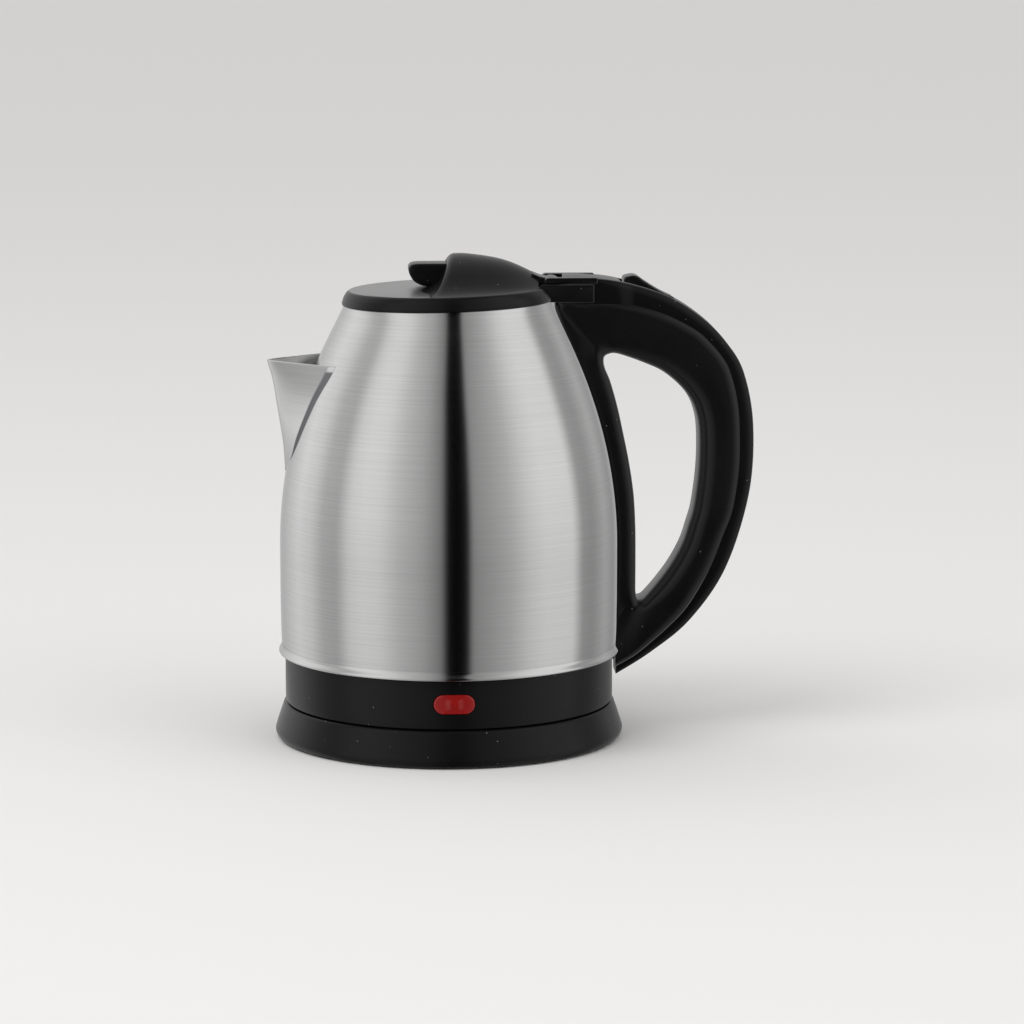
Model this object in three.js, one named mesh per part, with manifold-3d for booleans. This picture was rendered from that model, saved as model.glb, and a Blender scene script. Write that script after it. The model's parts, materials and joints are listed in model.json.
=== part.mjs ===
// Electric kettle: a domed steel water body with a black handle, standing on its
// power base. Millimetres, +Z up, +X towards the handle, -X towards the spout.
// The origin is on the body's axis, in the plane that the base stands on.
import * as THREE from "three";
import { mergeVertices } from "three/addons/utils/BufferGeometryUtils.js";
import Module from "manifold-3d";

const wasm = await Module();
wasm.setup();

// ---------- Driving dimensions ----------
const GAP = 0.3;

const BASE_RADIUS = 80;
const BASE_TOP = 16.8;
const BASE_DECK = 14.8;
const PLATE_LOW = 5;
const PLATE_THICK = 2;
const PLATE_RADIUS = 75.2;
const GLAND_Z = 7.3;
const GLAND_RADIUS = 4.6;
const HUB_RADIUS = 24;
const FOOT_RADIUS = 6;
const FOOT_CIRCLE = 64;

const SKIRT_RADIUS = 75.1;
const SKIRT_WALL = 2.4;
const SKIRT_LOW = 17.2;
const SKIRT_TOP = 39.1;
const SCREW_CIRCLE = 58;

const BODY_RADIUS = 77.1;
const BODY_WALL = 0.8;
const BODY_LOW = 39.4;
const BEAD_RADIUS = 78.4;
const SHOULDER_START = 88.5;
const OPENING_RADIUS = 47.5;
const OPENING_TOP = 199.3;
const OPENING_TILT = THREE.MathUtils.degToRad(1.5);
const TILT_STARTS = 160;

const SPOUT_TOP = 173.5;
const SPOUT_LOW = 110;
const SPOUT_TIP = 82.3;
const SPOUT_WALL = 1.2;
const SPOUT_SPREAD = THREE.MathUtils.degToRad(31);

const HINGE_X = 47;
const HINGE_Z = 206.4;
const HINGE_RADIUS = 5;
const HINGE_PIN_RADIUS = 1.6;
const KNUCKLE_HALF = 8.2;
const CHEEK_INSIDE = 8.5;
const HEAD_HALF = 14;
const HEAD_TOP = 211.5;

const GRIP_HALF = 14;
const COVER_HALF = 12;
const ROCKER_HALF = 7.2;
const ROCKER_X = 91;
const ROCKER_Z = 203;

const TAB_HALF = 8.5;

const LAMP_X = 0;
const LAMP_Z = 28;
const LAMP_LENGTH = 17.5;
const LAMP_HEIGHT = 8.8;

const FINE = 32;
const MEDIUM = 24;
const COARSE = 12;

// ---------- Finishes ----------
const finish = (color, roughness, metalness) =>
  new THREE.MeshStandardMaterial({ color, roughness, metalness });
const STEEL = finish(0xc4c2be, 0.32, 1);
const BLACK = finish(0x17171a, 0.38, 0);
const RUBBER = finish(0x222222, 0.85, 0);
const COPPER = finish(0xb87440, 0.35, 1);
const ALUMINIUM = finish(0xb5b8ba, 0.4, 1);
const WHITE_PLASTIC = finish(0xd8d4c8, 0.5, 0);
const RED_LENS = finish(0xb01812, 0.2, 0);
const NEON_GLASS = finish(0xd9b8a8, 0.1, 0);

// ---------- Solid helpers ----------
// Turns a closed geometry into a solid that can be joined and cut.
function solid(geometry) {
  const plain = geometry.clone();
  plain.deleteAttribute("normal");
  plain.deleteAttribute("uv");
  const merged = mergeVertices(plain, 1e-4);
  const corners = [];
  const index = merged.index.array;
  for (let i = 0; i < index.length; i += 3) {
    const [a, b, c] = [index[i], index[i + 1], index[i + 2]];
    if (a !== b && b !== c && c !== a) corners.push(a, b, c);
  }
  return new wasm.Manifold(
    new wasm.Mesh({
      numProp: 3,
      vertProperties: new Float32Array(merged.attributes.position.array),
      triVerts: new Uint32Array(corners),
    }),
  );
}

const asSolid = (shape) => (shape.isBufferGeometry ? solid(shape) : shape);
const join = (first, ...rest) => rest.reduce((sum, next) => sum.add(asSolid(next)), asSolid(first));
const cut = (first, ...rest) =>
  rest.reduce((left, next) => left.subtract(asSolid(next)), asSolid(first));
const common = (first, second) => asSolid(first).intersect(asSolid(second));

function geometryOf(shape) {
  if (shape.isBufferGeometry) return shape;
  const made = shape.getMesh();
  const geometry = new THREE.BufferGeometry();
  geometry.setAttribute("position", new THREE.BufferAttribute(made.vertProperties, 3));
  geometry.setIndex(new THREE.BufferAttribute(made.triVerts, 1));
  geometry.computeVertexNormals();
  return geometry;
}

function piece(name, shape, material, group, position = [0, 0, 0]) {
  const mesh = new THREE.Mesh(geometryOf(shape), material);
  mesh.name = name;
  mesh.position.set(...position);
  group.add(mesh);
  return mesh;
}

const point = (x, y) => new THREE.Vector2(x, y);
const points = (list) => list.map(([x, y]) => point(x, y));
const spline = (list, steps) => new THREE.SplineCurve(points(list)).getPoints(steps);

// A solid of revolution about Z from a closed profile of [radius, height] points.
function turned(profile, segments = FINE) {
  const outline = profile.map((p) => (Array.isArray(p) ? point(...p) : p.clone()));
  const rising = THREE.ShapeUtils.area(outline) > 0;
  if (!rising) outline.reverse();
  outline.push(outline[0].clone());
  return new THREE.LatheGeometry(outline, segments).rotateX(Math.PI / 2);
}

// A ring or tube of square section.
const ring = (inner, outer, low, high, segments = FINE) =>
  turned([[inner, low], [outer, low], [outer, high], [inner, high]], segments);

// An outline in the XZ plane, carried along Y between two widths.
function slab(outline, nearY, farY) {
  const settings = { depth: farY - nearY, bevelEnabled: false };
  return new THREE.ExtrudeGeometry(new THREE.Shape(outline), settings)
    .translate(0, 0, -farY)
    .rotateX(Math.PI / 2);
}

function block(low, high) {
  const size = low.map((value, i) => high[i] - value);
  const middle = low.map((value, i) => (high[i] + value) / 2);
  return new THREE.BoxGeometry(...size).translate(...middle);
}

// A round bar from one point to another.
function bar(radius, from, to, sides = COARSE) {
  const start = new THREE.Vector3(...from);
  const along = new THREE.Vector3(...to).sub(start);
  const turn = new THREE.Quaternion().setFromUnitVectors(
    new THREE.Vector3(0, 1, 0),
    along.clone().normalize(),
  );
  return new THREE.CylinderGeometry(radius, radius, along.length(), sides)
    .applyQuaternion(turn)
    .translate(...start.addScaledVector(along, 0.5));
}

// A round wire or tube that follows a curve.
function wire(curve, radius, steps, sides = 6) {
  const section = new THREE.Shape(
    Array.from({ length: sides }, (_, i) => {
      const angle = (2 * Math.PI * i) / sides;
      return point(radius * Math.cos(angle), radius * Math.sin(angle));
    }),
  );
  return new THREE.ExtrudeGeometry(section, { steps, extrudePath: curve, bevelEnabled: false });
}

// A helix of a few turns whose axis is +Z.
class Coil extends THREE.Curve {
  constructor(radius, length, turns) {
    super();
    this.radius = radius;
    this.length = length;
    this.turns = turns;
  }
  getPoint(t, target = new THREE.Vector3()) {
    const angle = 2 * Math.PI * this.turns * t;
    return target.set(
      this.radius * Math.cos(angle),
      this.radius * Math.sin(angle),
      this.length * t,
    );
  }
}

// Moves a line of points sideways, to its left, by the same distance.
function shifted(line, distance) {
  return line.map((p, i) => {
    const before = line[Math.max(0, i - 1)];
    const after = line[Math.min(line.length - 1, i + 1)];
    const along = after.clone().sub(before).normalize();
    return point(p.x - along.y * distance, p.y + along.x * distance);
  });
}

// The body's top edge and the lid lean upwards towards the handle.
const leaned = (geometry) =>
  geometry
    .translate(0, 0, -OPENING_TOP)
    .rotateY(-OPENING_TILT)
    .translate(0, 0, OPENING_TOP);

function sheared(geometry) {
  const place = geometry.getAttribute("position");
  for (let i = 0; i < place.count; i++) {
    const t = THREE.MathUtils.smoothstep(place.getZ(i), TILT_STARTS, OPENING_TOP);
    place.setZ(i, place.getZ(i) + t * Math.tan(OPENING_TILT) * place.getX(i));
  }
  return geometry;
}

// ---------- Body shape, shared by everything that touches it ----------
const shoulder = new THREE.CubicBezierCurve(
  point(BODY_RADIUS, SHOULDER_START),
  point(BODY_RADIUS, SHOULDER_START + 60),
  point(OPENING_RADIUS + 3.2, OPENING_TOP - 8.4),
  point(OPENING_RADIUS, OPENING_TOP),
);

const bodySide = (growth, steps = 8) => [
  point(BODY_RADIUS + growth, 55),
  ...shoulder.getPoints(steps).map((p) => point(p.x + growth, p.y)),
];

// Body radius at a height on the shoulder.
function bodyRadius(height) {
  let [low, high] = [0, 1];
  for (let i = 0; i < 30; i++) {
    const middle = (low + high) / 2;
    if (shoulder.getPoint(middle).y < height) low = middle;
    else high = middle;
  }
  return height <= SHOULDER_START ? BODY_RADIUS : shoulder.getPoint(low).x;
}

// The whole outer form of skirt and body as a full solid, a little larger.
function bodyForm(growth) {
  const profile = [
    point(0, SKIRT_LOW - 1),
    point(SKIRT_RADIUS + growth, SKIRT_LOW - 1),
    point(SKIRT_RADIUS + growth, BODY_LOW - growth),
    point(BEAD_RADIUS + growth, BODY_LOW - growth),
    point(BEAD_RADIUS + growth, BODY_LOW + 3.2 + growth),
    ...bodySide(growth),
    point(OPENING_RADIUS, OPENING_TOP + growth),
    point(0, OPENING_TOP + growth),
  ];
  return solid(sheared(turned(profile)));
}
const CLEAR_OF_BODY = bodyForm(GAP);

// ---------- Power base ----------
function baseUpperShell() {
  const shell = turned([
    [BASE_RADIUS - 1.2, 0.9],
    [BASE_RADIUS - 0.2, 2],
    [BASE_RADIUS, 3.6],
    [BASE_RADIUS - 0.7, 5.4],
    [BASE_RADIUS - 2.6, 9],
    [BASE_RADIUS - 3.9, 13],
    [BASE_RADIUS - 4.6, BASE_TOP],
    [72, BASE_TOP],
    [70.5, BASE_DECK],
    [18.6, BASE_DECK],
    [18.6, BASE_DECK - 2.2],
    [70.5, BASE_DECK - 2.2],
    [73.5, BASE_DECK - 2.6],
    [75.2, 9],
    [77, 4],
    [77, 0.9],
  ]);
  const pillars = screwAngles(Math.PI / 2).map((angle) =>
    bar(
      3.6,
      [SCREW_CIRCLE * Math.cos(angle), SCREW_CIRCLE * Math.sin(angle), 7.4],
      [SCREW_CIRCLE * Math.cos(angle), SCREW_CIRCLE * Math.sin(angle), 13.5],
      8,
    ),
  );
  const bores = screwAngles(Math.PI / 2).map((angle) =>
    bar(
      1.9,
      [SCREW_CIRCLE * Math.cos(angle), SCREW_CIRCLE * Math.sin(angle), 6],
      [SCREW_CIRCLE * Math.cos(angle), SCREW_CIRCLE * Math.sin(angle), 12.9],
      8,
    ),
  );
  const glandHole = bar(GLAND_RADIUS + GAP, [0, 66, GLAND_Z], [0, 84, GLAND_Z], 16);
  return cut(join(shell, ...pillars), glandHole, ...bores);
}

const screwAngles = (start) => [0, 1, 2].map((i) => start + Math.PI / 3 + (i * 2 * Math.PI) / 3);

function baseBottomPlate() {
  const high = PLATE_LOW + PLATE_THICK;
  const plate = turned([
    [0, 0],
    [HUB_RADIUS - 1, 0],
    [HUB_RADIUS, 1],
    [HUB_RADIUS, PLATE_LOW],
    [PLATE_RADIUS, PLATE_LOW],
    [PLATE_RADIUS, high],
    [HUB_RADIUS - 2, high],
    [HUB_RADIUS - 2, 2],
    [0, 2],
  ]);
  const holes = screwAngles(Math.PI / 2).map((angle) =>
    bar(
      1.9,
      [SCREW_CIRCLE * Math.cos(angle), SCREW_CIRCLE * Math.sin(angle), 4],
      [SCREW_CIRCLE * Math.cos(angle), SCREW_CIRCLE * Math.sin(angle), 8],
      8,
    ),
  );
  const reach = GLAND_RADIUS + GAP;
  return cut(plate, block([-reach, 66, 0], [reach, 84, 20]), ...holes);
}

// Raised round plug with one hole and two ring grooves for the kettle's contacts.
const baseConnector = () =>
  turned([
    [3.2, 7.6],
    [22, 7.6],
    [22, 12.3],
    [18.3, 12.3],
    [18.3, 24.6],
    [17.5, 25.4],
    [15.8, 25.4],
    [15.8, 11.6],
    [12.8, 11.6],
    [12.8, 25.4],
    [10.6, 25.4],
    [10.6, 11.6],
    [7.6, 11.6],
    [7.6, 25.4],
    [3.2, 25.4],
  ], MEDIUM);

// Rubber bush that the mains lead passes through on its way out of the base.
const cordGland = () => ring(3.3, GLAND_RADIUS, 0, 11.6, 16).rotateX(-Math.PI / 2);

function cordClamp() {
  const plate = block([-12, 60, 7.4], [12, 66, 9]);
  const bridge = slab(spline([[-6, 9], [-5, 12], [0, 12.3], [5, 12], [6, 9]], 10), 60, 66);
  const passage = bar(3, [0, 58, 8.4], [0, 70, 8.4], 8);
  return cut(join(plate, bridge), passage);
}

function screw(headRadius, shankRadius, headHeight, length) {
  return turned(
    [
      [0, 0],
      [headRadius, 0],
      [headRadius, headHeight],
      [shankRadius, headHeight],
      [shankRadius, length - 1],
      [0, length],
    ],
    8,
  );
}

function addPowerBase(group) {
  piece("base_upper_shell", baseUpperShell(), BLACK, group);
  piece("base_bottom_plate", baseBottomPlate(), BLACK, group);
  piece("base_connector", baseConnector(), WHITE_PLASTIC, group);
  piece("base_live_contact", ring(1.2, 2.9, 8, 11.4, 12), COPPER, group);
  piece("base_neutral_contact", ring(8, 10.2, 12, 13.6, 16), COPPER, group);
  piece("base_earth_contact", ring(13.2, 15.4, 12, 13.6, 16), COPPER, group);
  piece("cord_gland", cordGland(), RUBBER, group, [0, 68.2, GLAND_Z]);
  piece("cord_clamp", cordClamp(), BLACK, group);
  for (let i = 0; i < 4; i++) {
    const angle = Math.PI / 4 + (i * Math.PI) / 2;
    const place = [FOOT_CIRCLE * Math.cos(angle), FOOT_CIRCLE * Math.sin(angle), 0];
    const foot = [[0, 0], [FOOT_RADIUS - 0.6, 0], [FOOT_RADIUS, 0.6], [FOOT_RADIUS, 4.7], [0, 4.7]];
    piece("foot_" + (i + 1), turned(foot, 16), RUBBER, group, place);
  }
  screwAngles(Math.PI / 2).forEach((angle, i) => {
    const place = [SCREW_CIRCLE * Math.cos(angle), SCREW_CIRCLE * Math.sin(angle), 3.2];
    piece("base_screw_" + (i + 1), screw(3, 1.5, 1.5, 9), ALUMINIUM, group, place);
  });
}

// ---------- Water body ----------
function bodyShell() {
  const outer = [
    point(76.4, BODY_LOW),
    point(BEAD_RADIUS - 0.6, BODY_LOW),
    point(BEAD_RADIUS, BODY_LOW + 0.9),
    point(BEAD_RADIUS, BODY_LOW + 2.2),
    point(BEAD_RADIUS - 0.8, BODY_LOW + 3.2),
    point(BODY_RADIUS - 0.4, BODY_LOW + 4),
    ...bodySide(0),
  ];
  const inner = bodySide(-BODY_WALL).reverse();
  inner.push(point(BODY_RADIUS - BODY_WALL - 0.4, BODY_LOW));
  const shell = sheared(turned([...outer, ...inner]));
  return cut(shell, ...strainerHoles(), steamHole(), ...handleScrewHoles());
}

// Water leaves through a field of small holes behind the spout.
function strainerHoles() {
  const holes = [];
  [136, 144, 152, 160].forEach((height, row) => {
    const count = row % 2 ? 4 : 3;
    for (let i = 0; i < count; i++) {
      const y = 7.5 * (i - (count - 1) / 2);
      holes.push(bar(2.2, [-55, y, height], [-85, y, height], 6));
    }
  });
  return holes;
}

const STEAM_Z = 184;
const steamHole = () => bar(4.2, [48, 0, STEAM_Z], [64, 0, STEAM_Z], 12);
const HANDLE_SCREW_Z = [60, 118];
const handleScrewHoles = () =>
  HANDLE_SCREW_Z.map((z) => bar(1.9, [70, 0, z], [handleScrewStart(z) + 9.6, 0, z], 8));
const handleScrewStart = (z) => bodyRadius(z) - BODY_WALL - 2.3;

// The spout is a beak whose level sections are V shapes with a rounded nose.
const beakNose = new THREE.SplineCurve(
  points([
    [SPOUT_LOW, 76.4],
    [126.7, 74.6],
    [137.9, 75.6],
    [152.7, 77.9],
    [165, 79.9],
    [170.5, 81.6],
    [SPOUT_TOP, SPOUT_TIP],
    [SPOUT_TOP + 8, SPOUT_TIP + 1.6],
  ]),
);

function noseAt(height) {
  const line = beakNose.getPoints(60);
  const next = Math.max(1, line.findIndex((p) => p.x >= height));
  const [a, b] = [line[next - 1], line[next]];
  return a.y + ((height - a.x) / (b.x - a.x)) * (b.y - a.y);
}

function beak(inset, top) {
  const half = [point(0, 1), point(0.4, 0.62), point(0.78, 0.26), point(0.94, 0.12), point(1, 0)];
  const mirrored = half.slice(0, -1).reverse().map((p) => point(p.x, -p.y));
  const geometry = new THREE.ExtrudeGeometry(new THREE.Shape([...half, ...mirrored]), {
    depth: top - SPOUT_LOW,
    steps: 12,
    bevelEnabled: false,
  });
  const place = geometry.getAttribute("position");
  for (let i = 0; i < place.count; i++) {
    const height = SPOUT_LOW + place.getZ(i);
    const drop = Math.min(1, Math.max(0, (SPOUT_TOP - height) / (SPOUT_TOP - SPOUT_LOW)));
    const angle = SPOUT_SPREAD * Math.sqrt(1.0004 - drop * drop);
    const radius = bodyRadius(height);
    const root = radius * Math.cos(angle) - 4;
    const width = (radius * Math.sin(angle) + 3) - inset * 1.3;
    const reach = noseAt(height) - inset;
    place.setXYZ(
      i,
      -(root + place.getX(i) * (reach - root)),
      -Math.max(0.3, width) * place.getY(i),
      height,
    );
  }
  return geometry;
}

function spout() {
  const shell = cut(beak(0, SPOUT_TOP), beak(SPOUT_WALL, SPOUT_TOP + 6), CLEAR_OF_BODY);
  return shell.decompose().sort((a, b) => b.volume() - a.volume())[0];
}

function addWaterBody(group) {
  piece("body_shell", bodyShell(), STEEL, group);
  piece("spout", spout(), STEEL, group);
  piece("body_floor", turned([[0, 43.6], [75.8, 43.6], [75.8, 44.6], [0, 44.6]]), STEEL, group);
  piece("heat_spreader", turned([[0, 40.8], [56, 40.8], [56, 43.3], [0, 43.3]], 32),
    ALUMINIUM, group);
  piece("heating_element", heatingElement(), ALUMINIUM, group);
}

// Sheathed heater bent into an open ring, with its two cold ends turned down.
function heatingElement() {
  const [radius, height, tube] = [46, 37.2, 3.3];
  const opening = 0.32;
  const arc = new THREE.EllipseCurve(0, 0, radius, radius, opening, 2 * Math.PI - opening);
  const path = new THREE.CatmullRomCurve3(
    arc.getPoints(16).map((p) => new THREE.Vector3(p.x, p.y, height)),
  );
  const ends = [1, -1].map((side) => {
    const [x, y] = [radius * Math.cos(opening), side * radius * Math.sin(opening)];
    return bar(2.2, [x, y, 29], [x, y, height], 8);
  });
  return join(wire(path, tube, 32, 8), ...ends);
}

// ---------- Underside of the kettle ----------
function lowerSkirt() {
  const wall = turned([
    [SKIRT_RADIUS - SKIRT_WALL, SKIRT_LOW],
    [SKIRT_RADIUS - 0.7, SKIRT_LOW],
    [SKIRT_RADIUS, SKIRT_LOW + 0.8],
    [SKIRT_RADIUS, SKIRT_TOP],
    [SKIRT_RADIUS - SKIRT_WALL, SKIRT_TOP],
  ]);
  const bosses = screwAngles(0).flatMap((angle) => {
    const at = [SCREW_CIRCLE * Math.cos(angle), SCREW_CIRCLE * Math.sin(angle)];
    const rib = block([SCREW_CIRCLE, -1, 22], [SKIRT_RADIUS - 1, 1, 33]).rotateZ(angle);
    return [bar(4, [...at, 19.9], [...at, 36], 10), rib];
  });
  const bores = screwAngles(0).map((angle) => {
    const at = [SCREW_CIRCLE * Math.cos(angle), SCREW_CIRCLE * Math.sin(angle)];
    return bar(1.9, [...at, 19], [...at, 32], 8);
  });
  const window = slab(stadium(LAMP_LENGTH / 2 + GAP, LAMP_HEIGHT / 2 + GAP), -80, -68);
  return cut(join(wall, ...bosses), ...bores, window, ...loomPassage());
}

// Outline with straight long sides and half-round ends, about the lamp's centre.
function stadium(halfLength, halfHeight) {
  const shape = new THREE.Shape();
  const flat = halfLength - halfHeight;
  shape.absarc(LAMP_X + flat, LAMP_Z, halfHeight, -Math.PI / 2, Math.PI / 2);
  shape.absarc(LAMP_X - flat, LAMP_Z, halfHeight, Math.PI / 2, (3 * Math.PI) / 2);
  return shape.getPoints(6).slice(0, -1);
}

function lampLens() {
  const plug = slab(stadium(LAMP_LENGTH / 2, LAMP_HEIGHT / 2), -80, -68);
  const skin = ring(SKIRT_RADIUS - SKIRT_WALL, SKIRT_RADIUS + 0.4, 20, 36, 64);
  return common(plug, skin);
}

function skirtBasePlate() {
  const plate = ring(24.6, SKIRT_RADIUS - SKIRT_WALL - GAP, 17.4, 19.4);
  const holes = screwAngles(0).map((angle) => {
    const at = [SCREW_CIRCLE * Math.cos(angle), SCREW_CIRCLE * Math.sin(angle)];
    return bar(1.9, [...at, 16], [...at, 21], 8);
  });
  return cut(plate, ...holes);
}

const kettleConnector = () =>
  turned(
    [
      [2.9, 26.2],
      [19.2, 26.2],
      [19.2, 17.4],
      [24.2, 17.4],
      [24.2, 19.7],
      [30, 19.7],
      [30, 21.7],
      [24.2, 21.7],
      [24.2, 28.2],
      [2.9, 28.2],
    ],
    MEDIUM,
  );

function controlUnit() {
  const corner = 6;
  const [halfX, halfY] = [23, 18];
  const outline = new THREE.Shape();
  outline.absarc(halfX - corner, halfY - corner, corner, 0, Math.PI / 2);
  outline.absarc(-halfX + corner, halfY - corner, corner, Math.PI / 2, Math.PI);
  outline.absarc(-halfX + corner, -halfY + corner, corner, Math.PI, (3 * Math.PI) / 2);
  outline.absarc(halfX - corner, -halfY + corner, corner, (3 * Math.PI) / 2, 2 * Math.PI);
  const settings = { depth: 7, bevelEnabled: false, curveSegments: 3 };
  return new THREE.ExtrudeGeometry(outline, settings).translate(0, 0, 28.5);
}

function addUnderside(group) {
  piece("lower_skirt", lowerSkirt(), BLACK, group);
  piece("skirt_base_plate", skirtBasePlate(), BLACK, group);
  piece("lamp_lens", lampLens(), RED_LENS, group);
  piece("neon_lamp", bar(2.6, [-6, -68.6, LAMP_Z], [6, -68.6, LAMP_Z]), NEON_GLASS, group);
  piece("lamp_holder", block([-8, -65.4, 23], [8, -63.4, 33]), WHITE_PLASTIC, group);
  piece("kettle_connector", kettleConnector(), WHITE_PLASTIC, group);
  piece("neutral_ring", ring(8.4, 9.8, 14.4, 25.9, 16), COPPER, group);
  piece("earth_ring", ring(13.6, 15, 14.4, 25.9, 16), COPPER, group);
  piece("control_unit", controlUnit(), WHITE_PLASTIC, group);
  [-11, 11].forEach((x, i) => {
    const disc = turned([[0, 0], [8.6, 0], [8.6, 0.6], [4, 1.1], [0, 1.1]], 16);
    piece("bimetal_disc_" + (i + 1), disc, COPPER, group, [x, 0, 35.8]);
  });
  screwAngles(0).forEach((angle, i) => {
    const place = [SCREW_CIRCLE * Math.cos(angle), SCREW_CIRCLE * Math.sin(angle), 15.6];
    piece("skirt_screw_" + (i + 1), screw(3.2, 1.5, 1.5, 14), ALUMINIUM, group, place);
  });
}

// ---------- Handle ----------
// The seam between the grip and its back cover, from the head down to the skirt.
const SEAM = spline(
  [
    [59.8, 200], [78, 200.3], [96, 196], [111.4, 188.5], [122.4, 178.8], [128.9, 166.4],
    [132.7, 142.9], [131.7, 112.5], [120.5, 80.5], [106, 56.5], [90, 41.5], [76, 31.2],
  ],
  34,
);

// The back cover's outer line, over the head and down the back of the grip.
const BACK = spline(
  [
    [77, 209.6], [90, 205.5], [103, 200.9], [117.8, 190.8], [127.5, 178.8], [135.3, 163.9],
    [138.6, 145], [138.2, 122], [128.9, 82.1], [109.3, 52.4], [91.2, 37.5], [75.6, 28.2],
  ],
  34,
);

// The opening that the hand goes through.
const HAND_GAP = spline(
  [
    [70.6, 174], [74.5, 176.3], [89.5, 171.9], [101.1, 165.4], [111.2, 153], [113.9, 134],
    [109.2, 97.5], [101.5, 79.8], [89.5, 64.3], [86, 63.6], [85.3, 70], [85.1, 98.3],
    [82.1, 126.7], [76.6, 152.6], [70.6, 174],
  ],
  40,
).slice(0, -1);

function gripSolid() {
  const outline = [point(50, 199.7), ...SEAM, point(60, 30), point(50, 60)];
  return cut(slab(outline, -GRIP_HALF, GRIP_HALF), slab(HAND_GAP, -GRIP_HALF - 1, GRIP_HALF + 1));
}

// Room inside the grip for the wires and the steam switch, open to the back cover.
function gripHollow() {
  const run = SEAM.slice(6, -3);
  const inside = shifted(run, -8.5).reverse();
  const channel = slab([...shifted(run, 1), ...inside], -9.6, 9.6);
  return join(channel, block([77, -9.6, 181], [104, 9.6, 203]));
}

const STEAM_TUBE_END = 76.6;
const steamPassage = () => bar(4.4, [50, 0, STEAM_Z], [79, 0, STEAM_Z]);

// Bores where the wires pass from the grip's foot into the skirt.
const LOOM_FOOT = [[88, 0, 48.5], [81.5, 0, 39], [76, 0, 36], [66, 0, 34]];
const loomPassage = () => [
  bar(2.7, [92, 0, 54.3], LOOM_FOOT[1], 8),
  bar(2.7, [83, 0, 39.8], LOOM_FOOT[2], 8),
  bar(2.7, [77, 0, 36.2], [62, 0, 33.2], 8),
];

function handleShell() {
  const hollow = cut(gripSolid(), gripHollow(), steamPassage(), ...loomPassage());
  return cut(hollow, CLEAR_OF_BODY, ...handleScrewHoles());
}

function backCoverSolid() {
  const inside = shifted(SEAM, GAP).reverse();
  const head = [point(HINGE_X, 200.6), point(HINGE_X, HEAD_TOP), point(67, HEAD_TOP)];
  return slab([...inside, ...head, ...BACK], -COVER_HALF, COVER_HALF);
}

function handleBackCover() {
  const blockOutline = points([[HINGE_X, 200.9], [65.5, 200.9], [65.5, 208.5], [HINGE_X, 208.5]]);
  const hingeBlock = slab(blockOutline, -HEAD_HALF, HEAD_HALF);
  const at = (y) => [HINGE_X, y, HINGE_Z];
  const cheeks = [-1, 1].map((side) =>
    bar(HINGE_RADIUS, at(side * CHEEK_INSIDE), at(side * HEAD_HALF), 20),
  );
  const slot = block([40, -CHEEK_INSIDE, 199], [53.4, CHEEK_INSIDE, 215]);
  const pinBore = bar(HINGE_PIN_RADIUS + GAP, at(-12.4), at(12.4));
  const rockerSlot = block([77.8, -7.8, 190], [103, 7.8, 215]);
  const rockerBore = bar(1.6, [ROCKER_X, -10.4, ROCKER_Z], [ROCKER_X, 10.4, ROCKER_Z], 10);
  const cover = join(cut(backCoverSolid(), slot), cut(hingeBlock, slot), ...cheeks);
  return cut(cover, pinBore, rockerSlot, rockerBore, CLEAR_OF_BODY);
}

function switchRocker() {
  const top = spline([[79.3, 209.8], [81, 211.3], [83.8, 211.8], [86.4, 211], [96, 204.9],
    [102.4, 201.6]], 12);
  const under = points([[102.2, 199.4], [94.6, 202], [93.6, 200.6], [88.4, 200.6], [87.2, 205.6],
    [79.6, 207.2]]);
  const bore = bar(1.6, [ROCKER_X, -10, ROCKER_Z], [ROCKER_X, 10, ROCKER_Z], 10);
  return cut(slab([...top, ...under], -ROCKER_HALF, ROCKER_HALF), bore);
}

function wireLoom() {
  const run = SEAM.slice(15, -6);
  const line = shifted(run, -4.4).map((p) => new THREE.Vector3(p.x, 0, p.y));
  const foot = LOOM_FOOT.map((p) => new THREE.Vector3(...p));
  return wire(new THREE.CatmullRomCurve3([...line, ...foot]), 1.6, 26, 5);
}

function addHandle(group) {
  piece("handle_shell", handleShell(), BLACK, group);
  piece("handle_back_cover", handleBackCover(), BLACK, group);
  HANDLE_SCREW_Z.forEach((z, i) => {
    const fixing = screw(3.4, 1.5, 1.4, 9).rotateY(Math.PI / 2);
    piece("handle_screw_" + (i + 1), fixing, ALUMINIUM, group, [handleScrewStart(z), 0, z]);
  });
  const pinEnd = 12;
  const hingePin = bar(HINGE_PIN_RADIUS, [0, -pinEnd, 0], [0, pinEnd, 0]);
  piece("hinge_pin", hingePin, STEEL, group, [HINGE_X, 0, HINGE_Z]);
  piece("rocker_pin", bar(1.3, [0, -10, 0], [0, 10, 0], 10), STEEL, group, [ROCKER_X, 0, ROCKER_Z]);
  const tube = ring(2.8, 4, 0, STEAM_TUBE_END - 56, 12).rotateY(Math.PI / 2);
  piece("steam_tube", tube, RUBBER, group, [56, 0, STEAM_Z]);
  const disc = turned([[0, 0], [7, 0], [7, 0.6], [3, 1], [0, 1]], 16).rotateY(Math.PI / 2);
  piece("steam_bimetal", disc, COPPER, group, [78, 0, 189]);
  piece("steam_switch", block([81, -8, 182], [101, 8, 193]), WHITE_PLASTIC, group);
  piece("wire_loom", wireLoom(), RUBBER, group);
}

// ---------- Lid ----------
function lidDisc() {
  return solid(
    leaned(
      turned([
        [0, 202],
        [42, 202],
        [42, 199.7],
        [48.1, 199.7],
        [48.3, 200.6],
        [47.4, 203.4],
        [46, 205.4],
        [44.4, 206],
        [43.8, 205.4],
        [43.8, 203.4],
        [0, 203.4],
      ]),
    ),
  );
}

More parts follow.
